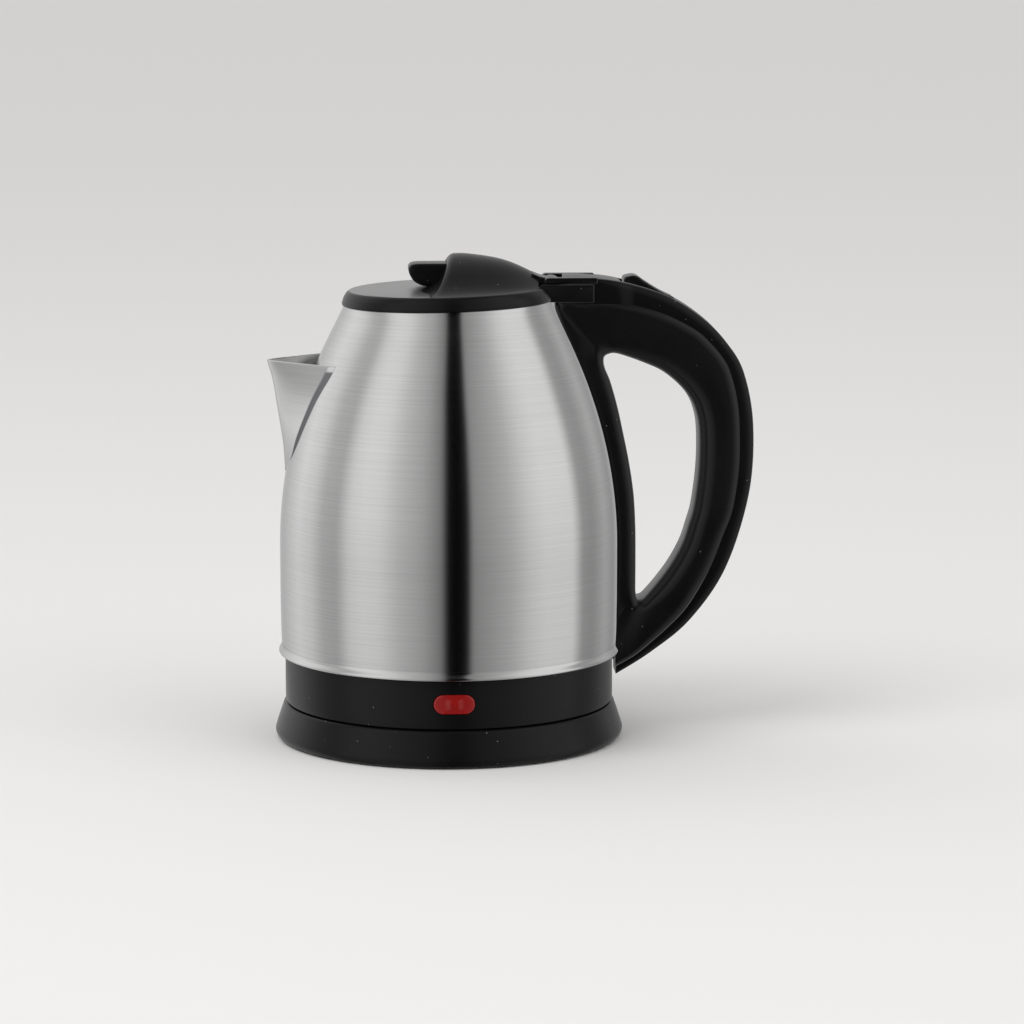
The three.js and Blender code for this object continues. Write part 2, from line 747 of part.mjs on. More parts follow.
const HUMP_TOP = [
  [-11, 203], [-8.4, 206.4], [-6.4, 213], [-4.6, 219.6], [-1, 221.6], [10, 221.5],
  [21.8, 219.7], [30.6, 216.9], [41.4, 211.7],
];

const CROWN_RADIUS = 45;
const CROWN_EDGE = 205.2;

// Spreads a side outline across the lid's circle. What stands above the leaning rim's edge
// sinks to it towards the sides, as (1 - s^2)^2, where s is the distance across.
function crowned(outline, edge, inset) {
  const geometry = new THREE.ExtrudeGeometry(new THREE.Shape(outline), {
    depth: 2,
    steps: 14,
    bevelEnabled: false,
  });
  const place = geometry.getAttribute("position");
  for (let i = 0; i < place.count; i++) {
    const [x, height, across] = [place.getX(i), place.getY(i), 1 - place.getZ(i)];
    const half = Math.sqrt(CROWN_RADIUS ** 2 - x * x) - inset;
    const floor = edge + x * Math.tan(OPENING_TILT);
    const rise = Math.max(0, height - floor) * (1 - across * across) ** 2;
    place.setXYZ(i, x, across * half, Math.min(height, floor) + rise);
  }
  return geometry;
}

function crown() {
  const underside = [point(41.4, 203.2)];
  for (let x = 38; x > -10; x -= 4) underside.push(point(x, 203));
  return crowned([...spline(HUMP_TOP, 20), ...underside], CROWN_EDGE, 0);
}

function crownHollow() {
  const outline = points([
    [-3.2, 200], [-3.2, 218], [-1, 219], [10, 219], [21, 217.2], [30, 214.2], [36, 211.4],
    [36, 200],
  ]);
  return crowned(outline, CROWN_EDGE - 2.4, 7);
}

function lidShell() {
  const arm = slab(
    points([[37, 203.4], [46, 201.9], [46.5, 211], [43, 211.6], [37, 213.4]]),
    -KNUCKLE_HALF,
    KNUCKLE_HALF,
  );
  const at = (y) => [HINGE_X, y, HINGE_Z];
  const knuckle = bar(HINGE_RADIUS - 0.2, at(-KNUCKLE_HALF), at(KNUCKLE_HALF), 20);
  const mouth = block([-14, -TAB_HALF - 0.4, 205.4], [7, TAB_HALF + 0.4, 218]);
  const springRoom = bar(5.4, at(2.7), at(9), 16);
  const pinBore = bar(HINGE_PIN_RADIUS + GAP, at(-20), at(20));
  const floorSlot = block([-5, -4.6, 199], [16, 4.6, 206]);
  const full = cut(join(lidDisc(), crown()), cheekRoom(), mouth);
  const top = cut(full, crownHollow(), floorSlot);
  const bosses = lidScrewPlaces().flatMap(([x, y]) => [
    bar(3.4, [x, y, 192.6], [x, y, 203], 8),
    common(bar(3.4, [x, y, 202], [x, y, 220], 8), full),
  ]);
  const bores = lidScrewPlaces().map(([x, y]) => bar(1.7, [x, y, 190], [x, y, 199.4], 8));
  const whole = join(top, cut(join(arm, knuckle), springRoom), ...bosses);
  return cut(whole, pinBore, ...bores);
}

// Space that the handle head's two hinge cheeks need in the lid's rear edge.
function cheekRoom() {
  const wide = HEAD_HALF + 0.6;
  const round = bar(HINGE_RADIUS + 0.4, [HINGE_X, -wide, HINGE_Z], [HINGE_X, wide, HINGE_Z], 20);
  return join(round, block([46.2, -wide, 190], [60, wide, 215]));
}

// Steel segment in front of the crown.
function lidInlay() {
  const disc = turned([[0, 204.6], [20, 204.4], [43.4, 203.7], [43.4, 204.4], [20, 205.1],
    [0, 205.3]]);
  return cut(solid(leaned(disc)), block([HUMP_TOP[0][0] - 0.5, -50, 190], [60, 50, 215]));
}

function lidInnerCover() {
  const cup = leaned(
    turned([
      [0, 189.6],
      [42.6, 189.6],
      [43.6, 190.6],
      [45, 198.2],
      [41.6, 199.3],
      [41.6, 201],
      [40.2, 201],
      [41.8, 191.2],
      [0, 191.2],
    ]),
  );
  const boltSlot = block([-50, -7.5, 193.6], [-38, 7.5, 197.6]);
  const springSeat = block([22.4, -4, 190.4], [24.4, 4, 199]);
  const holes = lidScrewPlaces().map(([x, y]) => bar(1.9, [x, y, 186], [x, y, 193], 8));
  return cut(join(cup, springSeat), boltSlot, cheekRoom(), ...holes);
}

const LID_SCREW_CIRCLE = 32;
const lidScrewPlaces = () =>
  screwAngles(Math.PI / 6).map((a) => [LID_SCREW_CIRCLE * Math.cos(a), LID_SCREW_CIRCLE * Math.sin(a)]);

function lidReleaseTab() {
  const outline = spline(
    [[-3, 206.2], [-10, 208.2], [-16.4, 211], [-18.2, 213.4], [-17, 216.2], [-12.5, 217.4],
      [-3, 217.6]],
    14,
  );
  const tongue = slab([...outline, point(2, 217.6), point(2, 206.2)], -TAB_HALF, TAB_HALF);
  const stem = block([0, -4, 197.4], [9, 4, 209]);
  return join(tongue, stem);
}

// Flat bar from the release stem to the lid's front edge, with a sloped nose.
function latchBolt() {
  const outline = points([[-45.2, 194.6], [-45.2, 195.6], [-43, 197], [9, 197], [9, 194.6]]);
  return slab(outline, -7, 7);
}

function addLid(group, latchGroup) {
  piece("lid_shell", lidShell(), BLACK, group);
  piece("lid_inlay", lidInlay(), STEEL, group);
  piece("lid_inner_cover", lidInnerCover(), BLACK, group);
  lidScrewPlaces().forEach(([x, y], i) => {
    const low = 187.9 + x * Math.tan(OPENING_TILT);
    piece("lid_screw_" + (i + 1), screw(2.8, 1.4, 1.3, 10), ALUMINIUM, group, [x, y, low]);
  });
  const spring = wire(new Coil(3.4, 4, 3), 0.5, 27, 4).rotateX(-Math.PI / 2);
  piece("lid_spring", spring, STEEL, group, [HINGE_X, 3.4, HINGE_Z]);
  piece("lid_release_tab", lidReleaseTab(), BLACK, latchGroup);
  piece("latch_bolt", latchBolt(), WHITE_PLASTIC, latchGroup);
  const coil = wire(new Coil(1.9, 12, 4), 0.45, 32, 4).rotateY(Math.PI / 2);
  piece("latch_spring", coil, STEEL, latchGroup, [9.8, 0, 195.8]);
}

// ---------- Assembly ----------
const kettle = new THREE.Group();
const powerBase = new THREE.Group();
const lid = new THREE.Group();
const latch = new THREE.Group();
addPowerBase(powerBase);
piece("live_pin", turned([[0, 12], [1.6, 12.6], [2.4, 14.4], [2.4, 28.1], [0, 28.1]], 16),
  COPPER, kettle);
addWaterBody(kettle);
addUnderside(kettle);
addHandle(kettle);
piece("switch_rocker", switchRocker(), BLACK, kettle);
addLid(lid, latch);
lid.add(latch);
kettle.add(lid);

const product = new THREE.Group();
product.add(powerBase, kettle);
export default product;
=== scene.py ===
# %% [markdown]
# # Cordless electric kettle
# The kettle is a spun steel body on a black plastic skirt. It has a pressed beak spout, a
# D-shaped handle, a hinged lid with a release tab, and a round power base under it.
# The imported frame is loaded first: it holds every part's place, and the kettle's moving bodies.

# %% Load the frame
import json
import math
import bmesh
import bpy
import numpy as np
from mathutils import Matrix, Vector


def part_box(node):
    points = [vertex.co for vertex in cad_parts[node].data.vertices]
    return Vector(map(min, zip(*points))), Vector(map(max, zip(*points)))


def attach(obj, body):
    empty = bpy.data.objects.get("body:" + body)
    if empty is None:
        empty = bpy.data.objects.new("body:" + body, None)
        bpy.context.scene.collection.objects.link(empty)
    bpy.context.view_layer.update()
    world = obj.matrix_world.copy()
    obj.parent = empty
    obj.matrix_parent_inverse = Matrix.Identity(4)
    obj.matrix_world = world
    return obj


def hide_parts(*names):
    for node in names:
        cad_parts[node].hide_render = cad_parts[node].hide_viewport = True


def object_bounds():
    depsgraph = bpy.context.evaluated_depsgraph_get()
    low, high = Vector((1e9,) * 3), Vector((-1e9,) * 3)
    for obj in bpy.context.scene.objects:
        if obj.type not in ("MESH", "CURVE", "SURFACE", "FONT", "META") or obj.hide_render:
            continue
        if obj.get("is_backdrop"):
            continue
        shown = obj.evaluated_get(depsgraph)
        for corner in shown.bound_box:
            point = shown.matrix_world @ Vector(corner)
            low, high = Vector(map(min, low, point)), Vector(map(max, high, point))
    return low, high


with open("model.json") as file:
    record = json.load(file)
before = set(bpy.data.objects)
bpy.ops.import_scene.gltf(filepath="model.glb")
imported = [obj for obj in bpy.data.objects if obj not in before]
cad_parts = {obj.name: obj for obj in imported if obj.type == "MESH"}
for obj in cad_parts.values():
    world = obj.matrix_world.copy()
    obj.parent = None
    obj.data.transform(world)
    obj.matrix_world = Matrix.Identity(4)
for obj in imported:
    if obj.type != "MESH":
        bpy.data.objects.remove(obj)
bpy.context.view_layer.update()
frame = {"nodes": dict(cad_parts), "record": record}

# %% [markdown]
# Shapes are worked out in millimetres, because a kettle's drawings are in millimetres, and they
# are turned into metres when a mesh is made. The main sizes are read from the frame's boxes, so
# that every surface below follows the parts that it stands for.

# %% Sizes
MM = 0.001


def corner(node, high, axis):
    """One side of a part's box, in millimetres."""
    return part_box(node)[1 if high else 0][axis] / MM


BASE_RADIUS = corner("base_upper_shell", True, 0)
SKIRT_RADIUS = corner("lower_skirt", True, 0)
SKIRT_LOW = corner("lower_skirt", False, 2)
SKIRT_TOP = corner("lower_skirt", True, 2)
BODY_LOW = corner("body_shell", False, 2)
BEAD_RADIUS = corner("body_shell", True, 0)
SPOUT_TIP = -corner("spout", False, 0)
SPOUT_TOP = corner("spout", True, 2)
BODY_RADIUS, SHOULDER_START = 77.1, 88.5
OPENING_RADIUS, OPENING_TOP = 47.5, 199.3
OPENING_TILT, TILT_STARTS = math.radians(1.5), 160.0
BODY_WALL = 0.8
lid_joint = next(j for j in frame["record"]["behaviour"]["joints"] if j["name"] == "lid_hinge")
HINGE_X, HINGE_Z = lid_joint["pos_m"][0] / MM, lid_joint["pos_m"][2] / MM
print(f"base {BASE_RADIUS:.1f} bead {BEAD_RADIUS:.1f} spout {SPOUT_TIP:.1f} hinge {HINGE_X:.1f}")

# %% [markdown]
# ## Drawing tools
# An outline is a short list of corners or of points on a smooth line. Three small functions
# turn such a list into a dense line: one cuts round fillets at corners, one draws a smooth
# spline through points, and one draws a cubic arc.


# %% Lines
def rounded(corners, steps=5):
    """Closed outline whose corners [a, b, fillet] become round: each corner is replaced by a
    quadratic arc that starts and ends one fillet length away, along its two sides."""
    points = np.array([c[:2] for c in corners], float)
    fillets = np.array([c[2] if len(c) > 2 else 0.0 for c in corners])
    before, after = np.roll(points, 1, 0) - points, np.roll(points, -1, 0) - points
    long_before = np.linalg.norm(before, axis=1)
    long_after = np.linalg.norm(after, axis=1)
    reach = np.minimum(fillets, 0.48 * np.minimum(long_before, long_after))[:, None]
    start = points + before / long_before[:, None] * reach
    end = points + after / long_after[:, None] * reach
    t = np.linspace(0, 1, steps + 1)[None, :, None]
    arcs = (1 - t) ** 2 * start[:, None] + 2 * t * (1 - t) * points[:, None] + t**2 * end[:, None]
    keep = np.repeat(reach > 0, steps + 1, 1)
    keep[:, 0] = True
    return arcs[keep]


def spline(points, count, closed=False):
    """Smooth line through points of any dimension: on each stretch, a cubic whose slope at a
    point is half the step between its two neighbours."""
    p = np.array(points, float)
    spans = len(p) if closed else len(p) - 1
    s = np.linspace(0, spans, count, endpoint=not closed)
    i = np.minimum(s.astype(int), spans - 1)
    t = (s - i)[:, None]
    pick = (lambda k: p[k % len(p)]) if closed else (lambda k: p[np.clip(k, 0, len(p) - 1)])
    a, b, c, d = pick(i - 1), pick(i), pick(i + 1), pick(i + 2)
    return 0.5 * (2 * b + (c - a) * t + (2 * a - 5 * b + 4 * c - d) * t**2
                  + (3 * b - a - 3 * c + d) * t**3)


def cubic(a, b, c, d, count):
    """Cubic arc from a to d that leaves towards b and arrives from c."""
    t = np.linspace(0, 1, count)[:, None]
    a, b, c, d = map(np.array, (a, b, c, d))
    return (1 - t) ** 3 * a + 3 * (1 - t) ** 2 * t * b + 3 * (1 - t) * t**2 * c + t**3 * d


def smooth_step(x, low, high):
    """0 below low, 1 above high, and a smooth S between them."""
    t = np.clip((x - low) / (high - low), 0, 1)
    return t * t * (3 - 2 * t)


# %% [markdown]
# A surface is a grid of points. Each row is one station along the piece and each column is one
# place round its section, so the whole piece is a function of two parameters. The grid becomes
# a mesh here: neighbours are joined by quads, open ends get a cap, doubled points at poles are
# merged, and edges that really are sharp are marked, so that the rest shades smoothly.


# %% Grids to meshes
SHARP_ANGLE = math.radians(38)
made_pieces = []


def surface(name, grid, wrap_rows=False, wrap_columns=True, caps=False):
    """Mesh object of a grid of millimetre points, with a UV map that runs along columns (u)
    and rows (v)."""
    rows, columns = grid.shape[:2]
    r = np.arange(rows if wrap_rows else rows - 1)[:, None]
    c = np.arange(columns if wrap_columns else columns - 1)[None, :]
    next_r, next_c = (r + 1) % rows, (c + 1) % columns
    quads = np.stack([r * columns + c, r * columns + next_c, next_r * columns + next_c,
                      next_r * columns + c], -1).reshape(-1, 4)
    u = np.stack([c + 0 * r, c + 1 + 0 * r, c + 1 + 0 * r, c + 0 * r], -1).reshape(-1)
    v = np.stack([r + 0 * c, r + 0 * c, r + 1 + 0 * c, r + 1 + 0 * c], -1).reshape(-1)
    faces = quads.tolist()
    uv = np.stack([u / columns, v / rows], -1)
    if caps:
        faces.append(list(range(columns)))
        faces.append(list(range((rows - 1) * columns, rows * columns)))
        uv = np.vstack([uv, np.zeros((2 * columns, 2))])
    mesh = bpy.data.meshes.new(name)
    mesh.from_pydata((grid.reshape(-1, 3) * MM).tolist(), [], faces)
    mesh.uv_layers.new(name="around").data.foreach_set("uv", uv.ravel())
    return finished(name, mesh)


def mark_sharp(mesh):
    """Smooth faces everywhere, and sharp edges where two faces meet at a clear angle."""
    work = bmesh.new()
    work.from_mesh(mesh)
    for edge in work.edges:
        edge.smooth = edge.is_manifold and edge.calc_face_angle() < SHARP_ANGLE
    for face in work.faces:
        face.smooth = True
    work.to_mesh(mesh)
    work.free()


def finished(name, mesh):
    """Merges doubles, turns faces outwards, marks sharp edges and links the object."""
    work = bmesh.new()
    work.from_mesh(mesh)
    bmesh.ops.remove_doubles(work, verts=work.verts, dist=2e-6)
    bmesh.ops.dissolve_degenerate(work, edges=work.edges, dist=1e-7)
    bmesh.ops.recalc_face_normals(work, faces=work.faces)
    work.to_mesh(mesh)
    work.free()
    mark_sharp(mesh)
    piece = bpy.data.objects.new(name, mesh)
    bpy.context.collection.objects.link(piece)
    made_pieces.append(piece)
    return piece


def turned(name, profile, segments=144, place=(0, 0, 0), bend=None):
    """Piece of revolution: a closed [radius, height] profile carried round the Z axis."""
    profile = np.array(profile, float)
    angle = np.linspace(0, 2 * np.pi, segments, endpoint=False)
    radius, height = profile[:, :1], profile[:, 1:]
    grid = np.stack([radius * np.cos(angle), radius * np.sin(angle), height + 0 * angle], -1)
    grid = grid + np.array(place)
    return surface(name, bend(grid) if bend else grid, wrap_rows=True)


def slab(name, outline, near, far, fillet):
    """Plate with rounded edges: an [x, z] outline carried along Y. Near each side the outline
    shrinks by fillet * (1 - sin) while it moves by fillet * (1 - cos), a quarter circle."""
    outline = np.array(outline, float)
    along = np.roll(outline, -1, 0) - np.roll(outline, 1, 0)
    along /= np.linalg.norm(along, axis=1)[:, None]
    turn = np.sign(np.sum(outline[:, 0] * np.roll(outline[:, 1], -1)
                          - np.roll(outline[:, 0], -1) * outline[:, 1]))
    inward = np.stack([-along[:, 1], along[:, 0]], -1) * turn
    a = np.linspace(0, np.pi / 2, 5)
    shrink = np.concatenate([fillet * (1 - np.sin(a)), fillet * (1 - np.sin(a[::-1]))])
    y = np.concatenate([near + fillet * (1 - np.cos(a)), far - fillet * (1 - np.cos(a[::-1]))])
    flat = outline[None] + inward[None] * shrink[:, None, None]
    grid = np.stack([flat[..., 0], np.broadcast_to(y[:, None], flat.shape[:2]), flat[..., 1]], -1)
    return surface(name, grid, caps=True)


def wear(piece, material, body, *nodes, slot="black_plastic"):
    """Gives a piece its material and the body it rides on, and hides the CAD parts it stands for."""
    piece.data.materials.clear()
    piece.data.materials.append(material)
    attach(piece, body)
    if nodes:
        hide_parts(*nodes)
    return piece


# %% [markdown]
# ## Stage, light and camera
# A brushed kettle is a mirror that is blurred one way, so its picture is really a picture of
# the studio. Two broad soft boxes stand left and right of the camera and the gap between them
# gives the dark stripe down the middle. They are painted on the world by angle, because a
# world has no noise and lights the kettle evenly. Straight overhead is a dim ceiling that is
# lighter on the left. Only the camera sees a plain pale backdrop.

# %% World
scene = bpy.context.scene
scene.view_settings.view_transform = "Standard"
world = bpy.data.worlds.new("soft_studio")
scene.world = world
world.use_nodes = True
w = world.node_tree
w.nodes.clear()


def node(tree, kind, inputs=(), **settings):
    """Adds a shader node, sets its properties, and fills or links its inputs by name."""
    made = tree.nodes.new(kind)
    for key, value in settings.items():
        setattr(made, key, value)
    for key, value in dict(inputs).items():
        if isinstance(value, bpy.types.NodeSocket):
            tree.links.new(value, made.inputs[key])
        else:
            made.inputs[key].default_value = value
    return made


def ramp(tree, value, stops, interpolation="EASE"):
    """Grey levels by position along a value."""
    made = node(tree, "ShaderNodeValToRGB", {"Fac": value})
    made.color_ramp.interpolation = interpolation
    elements = made.color_ramp.elements
    while len(elements) < len(stops):
        elements.new(0.5)
    for element, (position, level) in zip(elements, stops):
        element.position = position
        element.color = (level, level, level, 1) if np.isscalar(level) else (*level, 1)
    return made.outputs["Color"]


direction = node(w, "ShaderNodeTexCoord").outputs["Generated"]
parts = node(w, "ShaderNodeSeparateXYZ", {0: direction}).outputs
forward = node(w, "ShaderNodeMath", {0: parts["Y"], 1: -1.0}, operation="MULTIPLY").outputs[0]
round_angle = node(w, "ShaderNodeMath", {0: parts["X"], 1: forward}, operation="ARCTAN2").outputs[0]
turn = node(w, "ShaderNodeMapRange",
            {0: round_angle, 1: -math.pi, 2: math.pi, 3: 0.0, 4: 1.0}).outputs[0]


def at_angle(degrees):
    """Place on the ramp of a direction this many degrees right of straight forward."""
    return 0.5 + degrees / 360


sides = ramp(w, turn, [(at_angle(degrees), level) for degrees, level in [
    (-180, 0.60), (-158, 0.62), (-150, 0.70), (-126, 1.0), (-110, 0.88), (-97, 0.60), (-84, 0.55),
    (-73, 0.92), (-62, 1.0), (-50, 0.95), (-36, 0.70), (-20, 0.52), (-7, 0.28), (-3, 0.0),
    (11.5, 0.0), (14.5, 0.36), (28, 0.47), (41, 0.60), (56, 0.86), (68, 0.98), (92, 0.98),
    (102, 0.44), (114, 0.40), (132, 0.56), (150, 0.40), (180, 0.60)]], "LINEAR")
height = node(w, "ShaderNodeMapRange", {0: parts["Z"], 1: -1.0, 2: 1.0}).outputs[0]
levels = ramp(w, height, [(0.0, 0.55), (0.40, 0.85), (0.55, 1.0), (0.80, 1.0), (1.0, 0.8)], "LINEAR")
painted = node(w, "ShaderNodeMix", {0: 1.0, 6: sides, 7: levels}, data_type="RGBA",
               blend_type="MULTIPLY").outputs[2]
overhead = ramp(w, height, [(0.91, 0.0), (0.985, 1.0)])
rightward = node(w, "ShaderNodeMapRange", {0: parts["X"], 1: -1.0, 2: 1.0}).outputs[0]
ceiling = ramp(w, rightward, [(0.20, 0.60), (0.55, 0.14)])
lit = node(w, "ShaderNodeMix", {0: overhead, 6: painted, 7: ceiling}, data_type="RGBA").outputs[2]
backdrop = (0.86, 0.855, 0.85, 1)
is_camera = node(w, "ShaderNodeLightPath").outputs["Is Camera Ray"]
colour = node(w, "ShaderNodeMix", {0: is_camera, 6: lit, 7: backdrop}, data_type="RGBA").outputs[2]
background = node(w, "ShaderNodeBackground", {"Color": colour, "Strength": 1.0})
node(w, "ShaderNodeOutputWorld", {"Surface": background.outputs[0]})
print("world nodes", len(w.nodes))

# %% [markdown]
# The floor is one large pale sheet. It takes the kettle's soft shadow but is left out of
# reflections, where the painted soft boxes run on below the horizon, as they would on a short
# table top. A large lamp above and to the left gives the shadow its direction.

# %% Floor and lamp
FLOOR_HALF = 40.0
floor_mesh = bpy.data.meshes.new("floor")
floor_mesh.from_pydata([(-FLOOR_HALF, -FLOOR_HALF, 0), (FLOOR_HALF, -FLOOR_HALF, 0),
                        (FLOOR_HALF, FLOOR_HALF, 0), (-FLOOR_HALF, FLOOR_HALF, 0)], [],
                       [(0, 1, 2, 3)])
floor = bpy.data.objects.new("floor", floor_mesh)
scene.collection.objects.link(floor)
floor.visible_glossy = False
floor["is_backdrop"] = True
floor_paint = bpy.data.materials.new("pale_floor")
floor_paint.use_nodes = True
floor_shader = floor_paint.node_tree.nodes["Principled BSDF"]
floor_shader.inputs["Base Color"].default_value = (0.80, 0.79, 0.78, 1)
floor_shader.inputs["Roughness"].default_value = 0.9
floor_shader.inputs["Specular IOR Level"].default_value = 0.1
floor_mesh.materials.append(floor_paint)


def soft_lamp(name, place, target, width, watts):
    """Square area lamp that points at a target and doesn't show in reflections."""
    lamp = bpy.data.lights.new(name, "AREA")
    lamp.size = width
    lamp.energy = watts
    holder = bpy.data.objects.new(name, lamp)
    holder.location = place
    aim = Vector(target) - Vector(place)
    holder.rotation_euler = aim.to_track_quat("-Z", "Y").to_euler()
    holder.visible_glossy = False
    scene.collection.objects.link(holder)
    return holder


soft_lamp("key", (-1.3, -1.2, 2.2), (0, 0, 0.1), 1.6, 22)
soft_lamp("fill", (1.6, -1.6, 1.6), (0, 0, 0.1), 1.6, 8)

sky = bpy.data.lights.new("even_sky", "SUN")
sky.energy, sky.angle = 0.85, math.radians(120)
sky_holder = bpy.data.objects.new("even_sky", sky)
sky_holder.visible_glossy = False
scene.collection.objects.link(sky_holder)
print("lamps", len(bpy.data.lights))

# %% [markdown]
# The camera stands about one and three quarter metres away, a little above the kettle and a
# little round towards the spout, with a long lens, so that the sides stay almost parallel.

# %% Camera
CAMERA_DISTANCE, CAMERA_HEIGHT, CAMERA_SIDE = 1.75, 0.374, -0.055
CAMERA_PITCH, CAMERA_TURN = math.radians(8.795), math.radians(2.75)
camera_data = bpy.data.cameras.new("camera")
camera_data.lens, camera_data.sensor_width = 136.1, 36.0
camera = bpy.data.objects.new("camera", camera_data)
camera.location = (CAMERA_SIDE, -CAMERA_DISTANCE, CAMERA_HEIGHT)
camera.rotation_euler = (math.pi / 2 - CAMERA_PITCH, 0, -CAMERA_TURN)
scene.collection.objects.link(camera)
scene.camera = camera
print("camera at", [round(value, 3) for value in camera.location])

# %% [markdown]
# ## Finishes
# Four surface effects are shared, so each is a node group with its own numbers: moulded grain,
# brushed lines, dust, and wear along edges. A group only gives out values and normals; the
# shader itself stays in each material.


# %% Effect groups
def effect(name, inputs, outputs):
    """Empty node group with float inputs (name, default) and outputs (name, kind)."""
    tree = bpy.data.node_groups.new(name, "ShaderNodeTree")
    for label, value in inputs:
        made = tree.interface.new_socket(label, in_out="INPUT", socket_type="NodeSocketFloat")
        made.default_value = value
    for label, kind in outputs:
        tree.interface.new_socket(label, in_out="OUTPUT", socket_type=kind)
    return tree, tree.nodes.new("NodeGroupInput").outputs, tree.nodes.new("NodeGroupOutput").inputs


def noise(tree, vector, scale, detail=3.0, roughness=0.5):
    """Noise value round 0.5 at a scale per metre."""
    return node(tree, "ShaderNodeTexNoise", {"Vector": vector, "Scale": scale, "Detail": detail,
                                             "Roughness": roughness}).outputs["Fac"]


def maths(tree, kind, a, b=0.0):
    """Result of one sum on two values or sockets."""
    return node(tree, "ShaderNodeMath", {0: a, 1: b}, operation=kind).outputs[0]


def mapped(tree, value, low, high, to_low, to_high):
    """Value carried from one range to another, held at its ends."""
    ends = {0: value, 1: low, 2: high, 3: to_low, 4: to_high}
    return node(tree, "ShaderNodeMapRange", ends).outputs[0]


# Grain: fine moulded texture and slow waviness, as a height, with slow smudges for roughness.
grain, given, out = effect("moulded_grain", [("Grain scale", 2600.0), ("Wave depth", 0.3)],
                           [("Height", "NodeSocketFloat"), ("Smudge", "NodeSocketFloat")])
place = node(grain, "ShaderNodeTexCoord").outputs["Object"]
fine = noise(grain, place, given["Grain scale"], 2.0)
slow = maths(grain, "MULTIPLY", noise(grain, place, 38.0, 2.0), given["Wave depth"])
grain.links.new(maths(grain, "ADD", fine, slow), out["Height"])
grain.links.new(noise(grain, place, 22.0, 4.0, 0.6), out["Smudge"])

# Brushing: noise squeezed along Z, so each streak runs round the body at one height.
brushing, given, out = effect("brushed_lines", [("Line density", 3200.0), ("Stretch", 14.0)],
                              [("Lines", "NodeSocketFloat"), ("Clouds", "NodeSocketFloat")])
place = node(brushing, "ShaderNodeTexCoord").outputs["Object"]
squeeze = node(brushing, "ShaderNodeCombineXYZ", {0: given["Stretch"], 1: given["Stretch"],
                                                  2: given["Line density"]}).outputs[0]
streaks = node(brushing, "ShaderNodeVectorMath", {0: place, 1: squeeze},
               operation="MULTIPLY").outputs[0]
brushing.links.new(noise(brushing, streaks, 1.0, 4.0, 0.65), out["Lines"])
brushing.links.new(noise(brushing, place, 16.0, 3.0), out["Clouds"])

# Dust: a few tiny pale specks, where a cell's own random number is high.
dust, given, out = effect("dust_specks", [("Specks per metre", 420.0), ("Amount", 0.03)],
                          [("Mask", "NodeSocketFloat")])
place = node(dust, "ShaderNodeTexCoord").outputs["Object"]
cells = node(dust, "ShaderNodeTexVoronoi", {"Vector": place, "Scale": given["Specks per metre"]})
chance = node(dust, "ShaderNodeSeparateColor", {0: cells.outputs["Color"]}).outputs[0]
chosen = maths(dust, "LESS_THAN", chance, given["Amount"])
dot = mapped(dust, cells.outputs["Distance"], 0.05, 0.16, 1.0, 0.0)
dust.links.new(maths(dust, "MULTIPLY", chosen, dot), out["Mask"])

# Wear: convex edges, where the rounded normal differs from the true one, broken up by noise.
edge_wear, given, out = effect("edge_wear", [("Radius", 0.0006), ("Amount", 0.5)],
                               [("Mask", "NodeSocketFloat")])
bevel = node(edge_wear, "ShaderNodeBevel", {"Radius": given["Radius"]}, samples=4).outputs[0]
flat = node(edge_wear, "ShaderNodeNewGeometry").outputs["Normal"]
same = node(edge_wear, "ShaderNodeVectorMath", {0: bevel, 1: flat},
            operation="DOT_PRODUCT").outputs["Value"]
edge = mapped(edge_wear, same, 0.99, 0.86, 0.0, 1.0)
place = node(edge_wear, "ShaderNodeTexCoord").outputs["Object"]
broken = mapped(edge_wear, noise(edge_wear, place, 260.0), 0.42, 0.6, 0.0, 1.0)
rubbed = maths(edge_wear, "MULTIPLY", edge, broken)
edge_wear.links.new(maths(edge_wear, "MULTIPLY", rubbed, given["Amount"]), out["Mask"])
print("effect groups", [g.name for g in bpy.data.node_groups])


# %% [markdown]
# Every finish below starts from the same steps: a new material, its shader with the numbers
# that are even all over, and one use of a group.


# %% Material helpers
def finish_of(name, **even):
    """New material and its tree and shader, with even numbers set on the shader's sockets."""
    made = bpy.data.materials.new(name)
    made.use_nodes = True
    tree = made.node_tree
    shader = tree.nodes["Principled BSDF"]
    for key, value in even.items():
        shader.inputs[key.replace("_", " ")].default_value = value
    return made, tree, shader


def use(tree, group, **values):
    """Places a group in a material with its own values."""
    placed = tree.nodes.new("ShaderNodeGroup")
    placed.node_tree = group
    for key, value in values.items():
        placed.inputs[key.replace("_", " ")].default_value = value
    return placed.outputs


def blend_colour(tree, amount, a, b):
    """Colour between a and b by an amount."""
    return node(tree, "ShaderNodeMix", {0: amount, 6: a, 7: b}, data_type="RGBA").outputs[2]


def bump(tree, shader, height, strength, distance):
    """Feeds a height to the shader's normal."""
    made = node(tree, "ShaderNodeBump",
                {"Height": height, "Strength": strength, "Distance": distance})
    tree.links.new(made.outputs[0], shader.inputs["Normal"])


# %% [markdown]
# Black moulded plastic covers skirt, base, handle and lid. It is nearly black with a satin
# shine: slow smudges change its roughness, specks of dust lie on it, and its edges are a
# little paler where hands and cloths have rubbed them.


